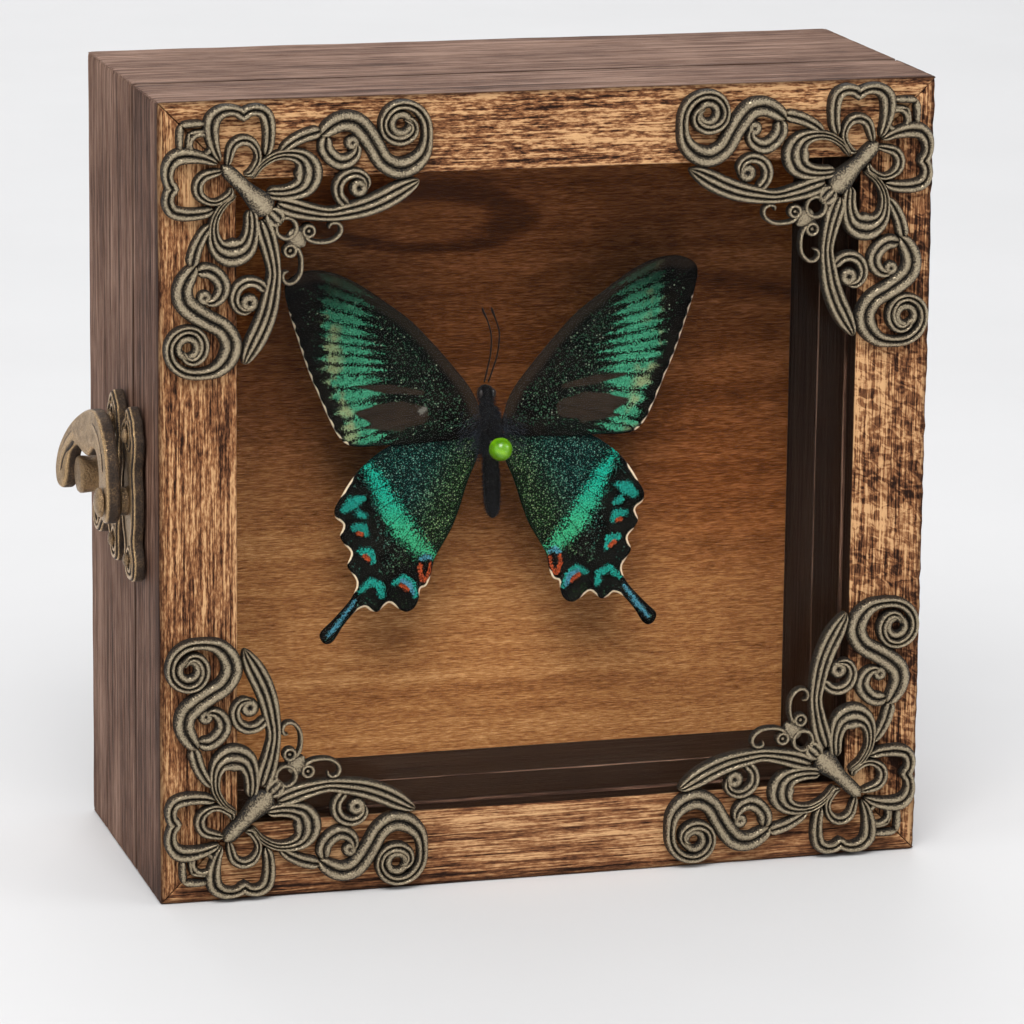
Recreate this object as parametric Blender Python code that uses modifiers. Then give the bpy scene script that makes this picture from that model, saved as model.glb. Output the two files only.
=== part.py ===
"""Framed butterfly specimen: a swallowtail pinned inside a glazed wooden shadow box.

The box stands on its underside. The origin is the centre of that underside, +Z is up and
the glazed door faces -Y. The door is hung on two hinges at +X and is held shut by a hook
latch at -X. Lengths are metres; mm() turns a list of millimetres into metres.
"""

import math

import bmesh
import bpy
from mathutils import Matrix, Vector

MM = 0.001
GAP = 0.3 * MM  # air left between pieces that touch

# Driving dimensions
BOX_WIDTH = 150 * MM
BOX_HEIGHT = 152 * MM
BOX_DEPTH = 64 * MM
DOOR_DEPTH = 22 * MM
BOARD = 15 * MM  # face width of every mitred rail and wall
SLOPE = 0.6 * MM  # small chamfer on the outer arrises
GLASS_SETBACK = 4.5 * MM
GLASS_THICK = 2 * MM
GROOVE = 3.4 * MM  # how far panes and panels reach into the boards
PANEL_SETBACK = 39 * MM  # front face of the door to the display panel
PANEL_THICK = 4 * MM
REAR_THICK = 3.5 * MM
REAR_RABBET = 4 * MM
ORNAMENT_THICK = 1.9 * MM
PLATE_THICK = 2.5 * MM
ARM_THICK = 2.8 * MM
ARM_STANDOFF = 1.3 * MM  # the arm clears the nail heads of the plates

FRONT = -BOX_DEPTH / 2
REAR = BOX_DEPTH / 2
SEAM = FRONT + DOOR_DEPTH
CASE_FRONT = SEAM + GAP
PANEL_FACE = FRONT + PANEL_SETBACK
SIDE = BOX_WIDTH / 2
INNER = SIDE - BOARD

# The butterfly
BODY_X = -4.2 * MM
PIN_X = -4.4 * MM
PIN_Z = 79.9 * MM
WING_PLANE = -5.2 * MM
WING_THICK = 0.35 * MM
PIN_RADIUS = 0.35 * MM
BEAD_RADIUS = 2.3 * MM
BEAD_CENTRE = -13.2 * MM

# The latch, on the outside of the left wall
LATCH_WALL = -SIDE - GAP
PIVOT_Y = -14.5 * MM
PIVOT_Z = 74 * MM
POST_Y = 7 * MM
POST_Z = 74.5 * MM
POST_RADIUS = 3.6 * MM

# The hinges, on the outside of the right wall
LEAF_THICK = 1 * MM
LEAF_WIDTH = 9 * MM
LEAF_HEIGHT = 20 * MM
HINGE_HEIGHTS = {"lower": 34 * MM, "upper": 118 * MM}
KNUCKLE_RADIUS = 1.7 * MM
HINGE_PIN_RADIUS = 0.7 * MM
HINGE_X = SIDE + GAP + KNUCKLE_RADIUS
HINGE_Y = SEAM + GAP / 2
NAIL_RADIUS = 0.6 * MM
NAIL_LENGTH = 5 * MM


def mm(points):
    return [tuple(value * MM for value in point) for point in points]


for old in list(bpy.data.objects):
    bpy.data.objects.remove(old, do_unlink=True)

parts = bpy.data.collections.new("framed_butterfly")
cutters = bpy.data.collections.new("cutters")
bpy.context.scene.collection.children.link(parts)
bpy.context.scene.collection.children.link(cutters)


def principled(name, colour, roughness, metallic=0.0):
    found = bpy.data.materials.get(name)
    if found:
        return found
    made = bpy.data.materials.new(name)
    made.use_nodes = True
    shader = made.node_tree.nodes["Principled BSDF"]
    shader.inputs["Base Color"].default_value = (*colour, 1)
    shader.inputs["Roughness"].default_value = roughness
    shader.inputs["Metallic"].default_value = metallic
    return made


def frame_wood():
    return principled("burnt_wood", (0.19, 0.08, 0.04), 0.6)


def bronze():
    return principled("antique_bronze", (0.2, 0.16, 0.11), 0.45, 0.9)


def add_part(name, mesh, material, parent=None):
    mesh.materials.clear()
    mesh.materials.append(material)
    obj = bpy.data.objects.new(name, mesh)
    parts.objects.link(obj)
    if parent:
        obj.parent = parent
        obj.matrix_parent_inverse = Matrix.Translation(-parent.location)
    return obj


def joint_empty(name, location):
    empty = bpy.data.objects.new(name, None)
    empty.location = location
    parts.objects.link(empty)
    return empty


def plate_mesh(name, outline, thickness, holes=()):
    """A flat plate in its own XY plane, from z = 0 up to its thickness, pierced by its holes."""
    curve = bpy.data.curves.new(name, "CURVE")
    curve.dimensions = "2D"
    curve.fill_mode = "BOTH"
    curve.extrude = thickness / 2
    for loop in (outline, *holes):
        spline = curve.splines.new("POLY")
        spline.points.add(len(loop) - 1)
        for point, (x, y) in zip(spline.points, loop):
            point.co = (x, y, 0, 1)
        spline.use_cyclic_u = True
    source = bpy.data.objects.new(name + "_outline", curve)
    bpy.context.scene.collection.objects.link(source)
    graph = bpy.context.evaluated_depsgraph_get()
    mesh = bpy.data.meshes.new_from_object(source.evaluated_get(graph))
    bpy.data.objects.remove(source, do_unlink=True)
    work = bmesh.new()
    work.from_mesh(mesh)
    bmesh.ops.remove_doubles(work, verts=work.verts, dist=1e-6)
    bmesh.ops.translate(work, verts=work.verts, vec=(0, 0, thickness / 2))
    bmesh.ops.recalc_face_normals(work, faces=work.faces)
    work.to_mesh(mesh)
    work.free()
    mesh.name = name
    return mesh


def circle(x, y, radius, sides, start=0.0, end=2 * math.pi):
    whole = abs(end - start - 2 * math.pi) < 1e-9
    steps = sides if whole else sides - 1
    turns = [start + (end - start) * step / steps for step in range(sides)]
    return [(x + radius * math.cos(turn), y + radius * math.sin(turn)) for turn in turns]


def placed(mesh, across, along, up, origin):
    """Turns a mesh so that its own X, Y and Z lie along the given world directions."""
    turn = Matrix((across, along, up)).transposed().to_4x4()
    mesh.transform(Matrix.Translation(origin) @ turn)
    if turn.determinant() < 0:
        mesh.flip_normals()
    return mesh


def turned_mesh(name, profile, steps):
    """A solid turned about Z from (radius, height) points that run from top to bottom."""
    work = bmesh.new()
    corners = [work.verts.new((radius, 0, height)) for radius, height in profile]
    for first, second in zip(corners, corners[1:]):
        work.edges.new((first, second))
    mesh = bpy.data.meshes.new(name)
    work.to_mesh(mesh)
    work.free()
    source = bpy.data.objects.new(name + "_profile", mesh)
    bpy.context.scene.collection.objects.link(source)
    screw = source.modifiers.new("turn", "SCREW")
    screw.steps = steps
    screw.render_steps = steps
    screw.use_merge_vertices = True
    screw.merge_threshold = 0.00001
    graph = bpy.context.evaluated_depsgraph_get()
    turned = bpy.data.meshes.new_from_object(source.evaluated_get(graph))
    bpy.data.objects.remove(source, do_unlink=True)
    turned.name = name
    work = bmesh.new()
    work.from_mesh(turned)
    bmesh.ops.recalc_face_normals(work, faces=work.faces)
    work.to_mesh(turned)
    work.free()
    turned.shade_smooth()
    turned.set_sharp_from_angle(angle=math.radians(35))
    return turned


def drill(target, start, direction, radius, length, sides=6):
    """Bores a round hole from start along direction."""
    work = bmesh.new()
    bmesh.ops.create_cone(
        work, cap_ends=True, segments=sides, radius1=radius, radius2=radius, depth=length
    )
    mesh = bpy.data.meshes.new("drill")
    work.to_mesh(mesh)
    work.free()
    tool = bpy.data.objects.new("drill_" + target.name, mesh)
    axis = Vector(direction).normalized()
    tool.rotation_euler = axis.to_track_quat("Z", "Y").to_euler()
    tool.location = Vector(start) + axis * length / 2
    tool.hide_render = True
    tool.display_type = "WIRE"
    cutters.objects.link(tool)
    cut = target.modifiers.new("hole", "BOOLEAN")
    cut.operation = "DIFFERENCE"
    cut.object = tool


# Mitred boards: four round the door and four round the case. A profile is (in, back): in
# from the outer edge of the box, and back from the front of the board.

DOOR_PROFILE = [
    (SLOPE, 0),
    (BOARD - SLOPE, 0),
    (BOARD, SLOPE),
    (BOARD, GLASS_SETBACK - GAP),
    (BOARD - GROOVE - GAP, GLASS_SETBACK - GAP),
    (BOARD - GROOVE - GAP, GLASS_SETBACK + GLASS_THICK + GAP),
    (BOARD, GLASS_SETBACK + GLASS_THICK + GAP),
    (BOARD, DOOR_DEPTH),
    (0, DOOR_DEPTH),
    (0, SLOPE),
]
CASE_DEPTH = REAR - CASE_FRONT
PANEL_IN = PANEL_FACE - CASE_FRONT
CASE_PROFILE = [
    (0, 0),
    (BOARD, 0),
    (BOARD, PANEL_IN - GAP),
    (BOARD - GROOVE - GAP, PANEL_IN - GAP),
    (BOARD - GROOVE - GAP, PANEL_IN + PANEL_THICK + GAP),
    (BOARD, PANEL_IN + PANEL_THICK + GAP),
    (BOARD, CASE_DEPTH - REAR_THICK - GAP - SLOPE),
    (BOARD - REAR_RABBET, CASE_DEPTH - REAR_THICK - GAP - SLOPE),
    (BOARD - REAR_RABBET, CASE_DEPTH),
    (SLOPE, CASE_DEPTH),
    (0, CASE_DEPTH - SLOPE),
]


def mitred_board(name, profile, front, edge, parent=None):
    """One board of the frame. edge is left, right, top or bottom."""
    upright = edge in ("left", "right")
    length = (BOX_HEIGHT if upright else BOX_WIDTH) - GAP
    mesh = plate_mesh(name, profile, length)
    half = length / 2
    for vertex in mesh.vertices:
        end = 1 if vertex.co.z > half else -1
        vertex.co.z = half + end * (half - vertex.co.x)
    inward, corner = {
        "left": ((1, 0, 0), (-SIDE, front, GAP / 2)),
        "right": ((-1, 0, 0), (SIDE, front, GAP / 2)),
        "bottom": ((0, 0, 1), (-SIDE + GAP / 2, front, 0)),
        "top": ((0, 0, -1), (-SIDE + GAP / 2, front, BOX_HEIGHT)),
    }[edge]
    run = (0, 0, 1) if upright else (1, 0, 0)
    placed(mesh, inward, (0, 1, 0), run, corner)
    return add_part(name, mesh, frame_wood(), parent)


door_swing = joint_empty("door_swing_axis", (HINGE_X, HINGE_Y, 0))
latch_turn = joint_empty("latch_turn_axis", (LATCH_WALL - PLATE_THICK, PIVOT_Y, PIVOT_Z))
latch_turn.parent = door_swing
latch_turn.matrix_parent_inverse = Matrix.Translation(-door_swing.location)

door_boards = {}
case_boards = {}
for edge, door_name in (
    ("left", "door_left_stile"),
    ("right", "door_right_stile"),
    ("top", "door_top_rail"),
    ("bottom", "door_bottom_rail"),
):
    door_boards[edge] = mitred_board(door_name, DOOR_PROFILE, FRONT, edge, door_swing)
    case_boards[edge] = mitred_board(f"case_{edge}_wall", CASE_PROFILE, CASE_FRONT, edge)


def sheet(name, front, thickness, reach, material, parent=None):
    """A flat pane or panel that fills the opening and reaches into the boards round it."""
    half = INNER + reach
    low = BOARD - reach
    high = BOX_HEIGHT - BOARD + reach
    mesh = plate_mesh(name, [(-half, low), (half, low), (half, high), (-half, high)], thickness)
    placed(mesh, (1, 0, 0), (0, 0, 1), (0, -1, 0), (0, front + thickness, 0))
    return add_part(name, mesh, material, parent)


glass_start = FRONT + GLASS_SETBACK
clear_glass = principled("clear_glass", (0.9, 0.95, 0.93), 0.03)
sheet("glass_pane", glass_start, GLASS_THICK, GROOVE, clear_glass, door_swing)
stained = principled("stained_board", (0.3, 0.14, 0.06), 0.5)
panel = sheet("display_panel", PANEL_FACE, PANEL_THICK, GROOVE, stained)
rear_front = REAR - SLOPE - REAR_THICK
sheet("rear_board", rear_front, REAR_THICK, REAR_RABBET - GAP, stained)


# Corner ornaments: cast filigree, the same on both sides of its diagonal. Millimetres from
# the box corner, (along the edge, away from the edge).

ORNAMENT_HALF_EDGE = [
    (3.6, 3.6), (8.5, 3.5), (9.2, 2.2), (11.1, 1.0), (13.4, 0.8), (15.8, 1.4), (18.6, 0.8),
    (20.7, 1.5), (21.7, 3.6), (21.7, 6.5), (21.1, 8.9), (22.3, 9.0), (23.6, 7.9), (26.5, 6.1),
    (29.9, 5.3), (30.9, 4.0), (32.8, 2.9), (35.3, 2.5), (37.8, 3.3), (39.7, 5.2), (40.9, 7.0),
    (41.2, 5.0), (42.0, 3.2), (43.6, 1.7), (46.1, 1.1), (48.6, 1.9), (50.5, 4.0), (51.3, 6.5),
    (51.1, 9.5), (49.9, 12.6), (48.0, 14.9), (49.2, 15.9), (48.8, 17.0), (46.9, 18.7),
    (43.6, 20.7), (40.3, 21.9), (35.7, 22.7), (30.5, 22.8), (30.2, 24.7), (31.5, 25.9),
    (32.9, 25.4), (32.8, 24.3), (31.9, 23.6), (33.1, 23.1), (34.3, 23.8), (34.3, 25.6),
    (32.9, 26.9), (30.3, 27.3), (28.3, 26.9),
]
ORNAMENT_TIP = (27.3, 27.3)
ORNAMENT_HOLES = [
    # between the outer and the inner petal
    [(12.0, 10.2), (11.4, 6.9), (11.5, 4.6), (12.8, 3.1), (14.7, 3.1), (15.8, 3.9), (16.9, 3.2),
     (18.4, 3.1), (19.4, 4.6), (19.6, 7.0), (19.4, 9.8), (18.9, 8.6), (17.8, 7.0), (15.9, 6.4),
     (13.9, 7.0), (12.9, 8.6)],
    # inside the inner petal
    [(14.7, 11.1), (14.5, 9.6), (15.9, 8.3), (17.4, 8.7), (18.1, 10.3), (17.9, 11.7), (16.6, 12.6)],
    # inside the oval wing
    [(18.3, 14.2), (19.4, 12.6), (21.5, 11.3), (23.8, 11.4), (25.3, 12.8), (25.4, 14.5),
     (24.2, 15.7), (21.5, 15.9), (19.2, 15.3)],
    # between the oval wing and the leaf
    [(26.1, 9.0), (29.4, 8.1), (29.9, 9.7), (31.3, 11.6), (33.0, 12.8), (33.5, 14.0),
     (32.8, 15.7), (32.8, 18.2), (33.5, 19.4), (31.5, 19.5), (29.0, 18.8), (27.4, 18.0),
     (29.7, 16.7), (30.7, 14.5), (30.4, 12.2), (29.0, 10.3)],
    # under the long scroll, round the leaf and the curl
    [(33.0, 9.6), (32.7, 8.0), (33.8, 6.7), (35.7, 6.1), (37.8, 6.9), (39.4, 8.8), (40.9, 11.7),
     (42.8, 14.2), (44.6, 15.6), (43.6, 16.8), (40.7, 18.5), (37.8, 19.2), (35.9, 18.6),
     (34.7, 17.4), (34.8, 15.9), (36.1, 15.2), (37.6, 15.4), (38.2, 16.7), (39.1, 17.7),
     (39.9, 16.7), (39.8, 15.1), (38.4, 13.8), (37.3, 13.1), (37.6, 12.2), (37.9, 10.7),
     (37.4, 9.2), (36.6, 8.6), (36.3, 10.1), (35.0, 11.0), (33.5, 10.7)],
    # between the turns of the spiral
    [(42.5, 8.8), (44.0, 9.6), (46.1, 9.6), (48.0, 8.7), (49.0, 7.0), (49.1, 5.6), (49.8, 7.4),
     (49.2, 9.9), (47.4, 11.4), (45.1, 11.5), (43.3, 10.6)],
    circle(45.5, 5.3, 1.1, 8),
]
ORNAMENT_DIAGONAL_HOLES = [circle(8.0, 8.0, 1.5, 10), circle(23.9, 23.9, 1.5, 10)]


def ornament_mesh(name):
    far_half = [(down, along) for along, down in reversed(ORNAMENT_HALF_EDGE[1:])]
    edge = ORNAMENT_HALF_EDGE + [ORNAMENT_TIP] + far_half
    holes = list(ORNAMENT_HOLES) + ORNAMENT_DIAGONAL_HOLES
    holes += [[(down, along) for along, down in hole] for hole in ORNAMENT_HOLES]
    return plate_mesh(name, mm(edge), ORNAMENT_THICK, [mm(hole) for hole in holes])


for side_name, side in (("left", -1), ("right", 1)):
    for level_name, top in (("bottom", 0), ("top", 1)):
        name = f"corner_ornament_{level_name}_{side_name}"
        mesh = ornament_mesh(name)
        corner = (side * SIDE, FRONT - GAP - ORNAMENT_THICK, top * BOX_HEIGHT)
        placed(mesh, (-side, 0, 0), (0, 0, 1 - 2 * top), (0, 1, 0), corner)
        add_part(name, mesh, bronze(), door_swing)


# Latch: two cast plates, a post on the case's plate, and a hook arm that turns on a rivet
# through the door's plate and drops behind the post. Outlines are (back, up) in millimetres.

DOOR_PLATE = [
    (-21.3, 60.8), (-19.2, 59.5), (-16.5, 59.3), (-14.2, 60.6), (-13.2, 63.2), (-13.6, 66.0),
    (-12.2, 68.5), (-11.2, 72.0), (-11.2, 78.0), (-12.4, 81.5), (-11.4, 84.5), (-11.6, 87.6),
    (-13.4, 89.8), (-14.7, 90.2), (-15.6, 92.0), (-17.4, 92.5), (-19.0, 91.4), (-20.6, 90.4),
    (-21.2, 88.2), (-22.2, 86.6), (-21.6, 83.5), (-20.6, 80.5), (-21.4, 76.0), (-21.2, 71.0),
    (-20.2, 67.0), (-21.8, 64.0),
]
CATCH_PLATE = [
    (-6.4, 61.8), (-4.8, 60.2), (-2.2, 60.0), (-0.4, 61.4), (0.6, 64.2), (3.6, 66.2),
    (7.8, 64.6), (10.8, 62.2), (13.8, 61.8), (16.0, 63.6), (16.2, 66.6), (14.2, 69.6),
    (14.6, 74.5), (13.6, 79.4), (10.2, 82.6), (5.4, 84.0), (2.0, 85.6), (1.8, 88.6),
    (0.2, 90.8), (-1.0, 92.2), (-3.0, 92.9), (-4.8, 91.8), (-6.4, 90.6), (-7.2, 88.0),
    (-8.0, 85.6), (-7.2, 82.0), (-6.6, 76.0), (-6.8, 70.0), (-6.2, 65.6),
]
ARM_OUTER = [
    (-18.4, 77.5), (-17.6, 82.0), (-14.8, 86.6), (-10.2, 89.8), (-4.0, 90.6), (3.0, 88.8),
    (10.0, 85.0), (15.4, 79.8), (17.6, 74.4), (16.6, 70.6), (14.0, 69.9), (12.0, 72.4),
]
ARM_INNER = [
    (11.5, 75.2), (10.2, 77.8), (7.0, 79.2), (3.6, 78.0), (0.6, 78.2), (-3.6, 80.4),
    (-7.6, 80.6), (-10.0, 78.0),
]
ARM_TURN_RADIUS = 4.2
FLARE_START = -2.0  # the hook leaves the wall from here back
FLARE_END = 17.6
FLARE_OUT = 3.2 * MM
FLARE_POWER = 1.5


def on_left_wall(mesh, out_from_wall):
    """Lays a plate drawn as (back, up) on the outside of the left wall."""
    return placed(mesh, (0, 1, 0), (0, 0, 1), (-1, 0, 0), (LATCH_WALL - out_from_wall, 0, 0))


RIVET_HOLE = 1.8 * MM
RIVET_RADIUS = 1.5 * MM
PLATE_NAILS = {
    "door": [(-17.6, 63.4), (-17.0, 87.0)],
    "catch": [(-3.6, 64.2), (-3.2, 87.4)],
}
LATCH_HOLE_SIDES = 10
NAIL_HOLE = NAIL_RADIUS + GAP
rivet_hole = circle(PIVOT_Y, PIVOT_Z, RIVET_HOLE, LATCH_HOLE_SIDES)
door_plate_holes = [rivet_hole]
catch_plate_holes = []
for plate_name, holes in (("door", door_plate_holes), ("catch", catch_plate_holes)):
    for back, up in mm(PLATE_NAILS[plate_name]):
        holes.append(circle(back, up, NAIL_HOLE, 6))

plate = plate_mesh("latch_door_plate", mm(DOOR_PLATE), PLATE_THICK, door_plate_holes)
add_part("latch_door_plate", on_left_wall(plate, 0), bronze(), door_swing)

# The catch plate and its post are one casting.
POST_OUT = 4.7 * MM
POST_CHAMFER = 0.6 * MM
POST_ROOT = -1.2 * MM  # how far the post is sunk into its plate
plate = plate_mesh("latch_catch_plate", mm(CATCH_PLATE), PLATE_THICK, catch_plate_holes)
catch_plate = add_part("latch_catch_plate", on_left_wall(plate, 0), bronze())
post_profile = [
    (0, POST_OUT),
    (POST_RADIUS - POST_CHAMFER, POST_OUT),
    (POST_RADIUS, POST_OUT - POST_CHAMFER),
    (POST_RADIUS, POST_ROOT),
    (0, POST_ROOT),
]
post = turned_mesh("latch_post", post_profile, 16)
placed(post, (0, 1, 0), (0, 0, 1), (-1, 0, 0), (LATCH_WALL - PLATE_THICK, POST_Y, POST_Z))
post_tool = bpy.data.objects.new("latch_post", post)
post_tool.hide_render = True
post_tool.display_type = "WIRE"
cutters.objects.link(post_tool)
join = catch_plate.modifiers.new("post", "BOOLEAN")
join.operation = "UNION"
join.object = post_tool

TURN_START = 0.1  # radians below level, where the arm's round end meets its sides
ARM_CLEAR = 0.15 * MM  # the arm's hole is this much larger than the rivet
bottom_turn = circle(
    PIVOT_Y / MM, PIVOT_Z / MM, ARM_TURN_RADIUS, 7, TURN_START, -math.pi - TURN_START
)
arm_outline = mm(ARM_OUTER + ARM_INNER + bottom_turn)
arm_hole = circle(PIVOT_Y, PIVOT_Z, RIVET_RADIUS + ARM_CLEAR, LATCH_HOLE_SIDES)
arm = plate_mesh("latch_arm", arm_outline, ARM_THICK, [arm_hole])
for vertex in arm.vertices:
    reach = (vertex.co.x / MM - FLARE_START) / (FLARE_END - FLARE_START)
    vertex.co.z += FLARE_OUT * max(0.0, reach) ** FLARE_POWER
on_left_wall(arm, PLATE_THICK + ARM_STANDOFF)
add_part("latch_arm", arm, bronze(), latch_turn)

rivet_head = PLATE_THICK + ARM_STANDOFF + ARM_THICK + GAP
RIVET_COLLAR = 2.7 * MM  # the shoulder that the arm turns on
COLLAR_CLEAR = 0.2 * MM
SEAT_CLEAR = 0.1 * MM  # under a rivet or a nail head
collar_top = PLATE_THICK + ARM_STANDOFF - COLLAR_CLEAR
collar_foot = PLATE_THICK + COLLAR_CLEAR
rivet_profile = [
    (0, rivet_head + 1.3 * MM),
    (1.6 * MM, rivet_head + 1.1 * MM),
    (2.7 * MM, rivet_head + 0.5 * MM),
    (2.8 * MM, rivet_head),
    (RIVET_RADIUS, rivet_head),
    (RIVET_RADIUS, collar_top),
    (RIVET_COLLAR, collar_top),
    (RIVET_COLLAR, collar_foot),
    (RIVET_RADIUS, collar_foot),
    (RIVET_RADIUS, SEAT_CLEAR),
    (0, SEAT_CLEAR),
]
rivet = turned_mesh("latch_rivet", rivet_profile, 12)
placed(rivet, (0, 1, 0), (0, 0, 1), (-1, 0, 0), (LATCH_WALL, PIVOT_Y, PIVOT_Z))
add_part("latch_rivet", rivet, bronze(), door_swing)


NAIL_TIP = 0.6 * MM
DRILL_LEAD = 4 * MM  # a drill starts this far outside the face it bores
HOLE_BOTTOM = 0.6 * MM  # air below the tip of a nail


def nail(name, head_seat, outward, target, parent=None):
    """A round-headed nail whose head sits on head_seat and whose shank is in target."""
    profile = [
        (0, 0.9 * MM),
        (1.0 * MM, 0.65 * MM),
        (1.4 * MM, SEAT_CLEAR),
        (NAIL_RADIUS, SEAT_CLEAR),
        (NAIL_RADIUS, -NAIL_LENGTH),
        (0, -NAIL_LENGTH - NAIL_TIP),
    ]
    mesh = turned_mesh(name, profile, 6)
    placed(mesh, (0, 1, 0), (0, 0, outward), (outward, 0, 0), head_seat)
    add_part(name, mesh, bronze(), parent)
    start = Vector(head_seat) + Vector((outward * DRILL_LEAD, 0, 0))
    depth = DRILL_LEAD + NAIL_LENGTH + NAIL_TIP + HOLE_BOTTOM
    drill(target, start, (-outward, 0, 0), NAIL_HOLE, depth)


for plate_name, target, parent in (
    ("door", door_boards["left"], door_swing),
    ("catch", case_boards["left"], None),
):
    for level, (back, up) in zip(("lower", "upper"), mm(PLATE_NAILS[plate_name])):
        seat = (LATCH_WALL - PLATE_THICK - SEAT_CLEAR, back, up)
        nail(f"latch_{plate_name}_nail_{level}", seat, -1, target, parent)


# Hinges: each has a leaf nailed to the door, a leaf nailed to the case, and a pin. The
# door's leaf ends in the middle knuckle and the case's leaf in the two outer knuckles.

KNUCKLE_PITCH = LEAF_HEIGHT / 3
KNUCKLE_SIDES = 16
BORE_SIDES = 12
HINGE_CLEAR = 0.08 * MM
LEAF_EDGE = 0.45 * MM  # from the axis to a leaf's edge, inside the wall of its own knuckle
HINGE_NAIL_OUT = 5.94 * MM  # from the axis to the nails
HINGE_NAIL_LEVEL = 6.25 * MM  # from the middle of a leaf up or down to its nails


def knuckle(height, middle):
    """A round bar on the hinge axis, which is bored for the pin once it is on its leaf."""
    work = bmesh.new()
    bmesh.ops.create_cone(
        work,
        cap_ends=True,
        segments=KNUCKLE_SIDES,
        radius1=KNUCKLE_RADIUS,
        radius2=KNUCKLE_RADIUS,
        depth=height,
    )
    mesh = bpy.data.meshes.new("knuckle")
    work.to_mesh(mesh)
    work.free()
    bar = bpy.data.objects.new("knuckle", mesh)
    bar.location = (HINGE_X, HINGE_Y, middle)
    bar.hide_render = True
    bar.display_type = "WIRE"
    cutters.objects.link(bar)
    return bar


def hinge_leaf(name, middle, toward, rows, parent=None):
    """One leaf with its knuckles. toward is -1 for the door's side of the seam and 1 for the
    case's, and rows are those of the three knuckle heights that the leaf holds."""
    low = middle - LEAF_HEIGHT / 2
    high = low + LEAF_HEIGHT
    first_cut = low + KNUCKLE_PITCH - toward * GAP
    second_cut = high - KNUCKLE_PITCH + toward * GAP
    outline = [(toward * LEAF_WIDTH, high), (toward * LEAF_WIDTH, low)]
    for row, (start, end) in enumerate(((low, first_cut), (first_cut, second_cut), (second_cut, high))):
        edge = toward * (LEAF_EDGE if row in rows else KNUCKLE_RADIUS + GAP)
        outline += [(edge, start), (edge, end)]
    holes = [
        circle(toward * HINGE_NAIL_OUT, middle + sign * HINGE_NAIL_LEVEL, NAIL_HOLE, 6)
        for sign in (-1, 1)
    ]
    mesh = plate_mesh(name, outline, LEAF_THICK, holes)
    placed(mesh, (0, 1, 0), (0, 0, 1), (1, 0, 0), (SIDE + GAP, HINGE_Y, 0))
    leaf = add_part(name, mesh, bronze(), parent)
    for row in rows:
        height = KNUCKLE_PITCH - (2 * GAP if row == 1 else 0)
        join = leaf.modifiers.new("knuckle", "BOOLEAN")
        join.operation = "UNION"
        join.object = knuckle(height, low + (row + 0.5) * KNUCKLE_PITCH)
    bore_start = (HINGE_X, HINGE_Y, low - DRILL_LEAD)
    bore = HINGE_PIN_RADIUS + HINGE_CLEAR
    drill(leaf, bore_start, (0, 0, 1), bore, LEAF_HEIGHT + 2 * DRILL_LEAD, BORE_SIDES)


for level, middle in HINGE_HEIGHTS.items():
    hinge_leaf(f"{level}_hinge_door_leaf", middle, -1, (1,), door_swing)
    hinge_leaf(f"{level}_hinge_case_leaf", middle, 1, (0, 2))
    half = LEAF_HEIGHT / 2
    pin_profile = [
        (0, half + 1.3 * MM),
        (0.8 * MM, half + 1.2 * MM),
        (1.3 * MM, half + 0.7 * MM),
        (1.3 * MM, half + GAP),
        (HINGE_PIN_RADIUS, half + GAP),
        (HINGE_PIN_RADIUS, -half),
        (0, -half),
    ]
    pin = turned_mesh(f"{level}_hinge_pin", pin_profile, 12)
    pin.transform(Matrix.Translation((HINGE_X, HINGE_Y, middle)))
    add_part(f"{level}_hinge_pin", pin, bronze())
    for toward, owner, target, parent in (
        (-1, "door", door_boards["right"], door_swing),
        (1, "case", case_boards["right"], None),
    ):
        for row, sign in (("low", -1), ("high", 1)):
            seat = (
                SIDE + GAP + LEAF_THICK + SEAT_CLEAR,
                HINGE_Y + toward * HINGE_NAIL_OUT,
                middle + sign * HINGE_NAIL_LEVEL,
            )
            nail(f"{level}_hinge_{owner}_nail_{row}", seat, 1, target, parent)


# Butterfly. A wing outline is (out from the body's middle, height), for one side.

FOREWING = [
    (2.6, 81.6), (2.6, 86.4), (4.2, 90.2), (7.0, 94.0), (11.5, 99.3), (16.5, 104.5),
    (21.5, 108.3), (26.5, 111.8), (31.0, 114.0), (35.5, 114.8), (39.0, 114.0), (40.8, 112.0),
    (40.3, 108.0), (38.2, 101.2), (36.1, 95.0), (34.3, 90.8), (32.5, 86.5), (30.5, 82.6),
    (28.6, 80.8), (26.0, 80.2), (22.0, 80.3), (12.0, 80.4),
]
HINDWING = [
    (2.6, 77.0), (2.6, 81.2), (10.0, 82.0), (17.0, 81.2), (21.0, 79.6), (24.2, 77.4),
    (26.5, 75.2), (28.3, 72.8), (29.6, 70.6), (30.9, 68.2), (30.7, 66.4), (29.2, 64.9),
    (29.8, 62.7), (29.0, 61.1), (27.7, 59.3), (28.4, 56.9), (27.6, 55.4), (26.6, 53.6),
    (27.0, 51.6), (28.4, 49.4), (31.4, 46.2), (33.7, 43.9), (33.5, 42.3), (32.4, 41.5),
    (31.0, 42.2), (29.2, 45.0), (26.9, 47.6), (25.0, 48.5), (23.8, 47.7), (22.4, 47.4),
    (21.2, 48.4), (20.0, 49.0), (18.2, 47.7), (16.6, 47.0), (15.0, 47.8), (14.2, 49.6),
    (13.9, 51.4), (12.7, 52.0), (11.8, 54.2), (11.2, 57.0), (9.9, 59.4), (7.8, 63.0),
    (6.2, 67.0), (4.6, 72.0),
]
FOREWING_LIFT = 0.75 * MM  # the forewing lies over the hindwing

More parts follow.
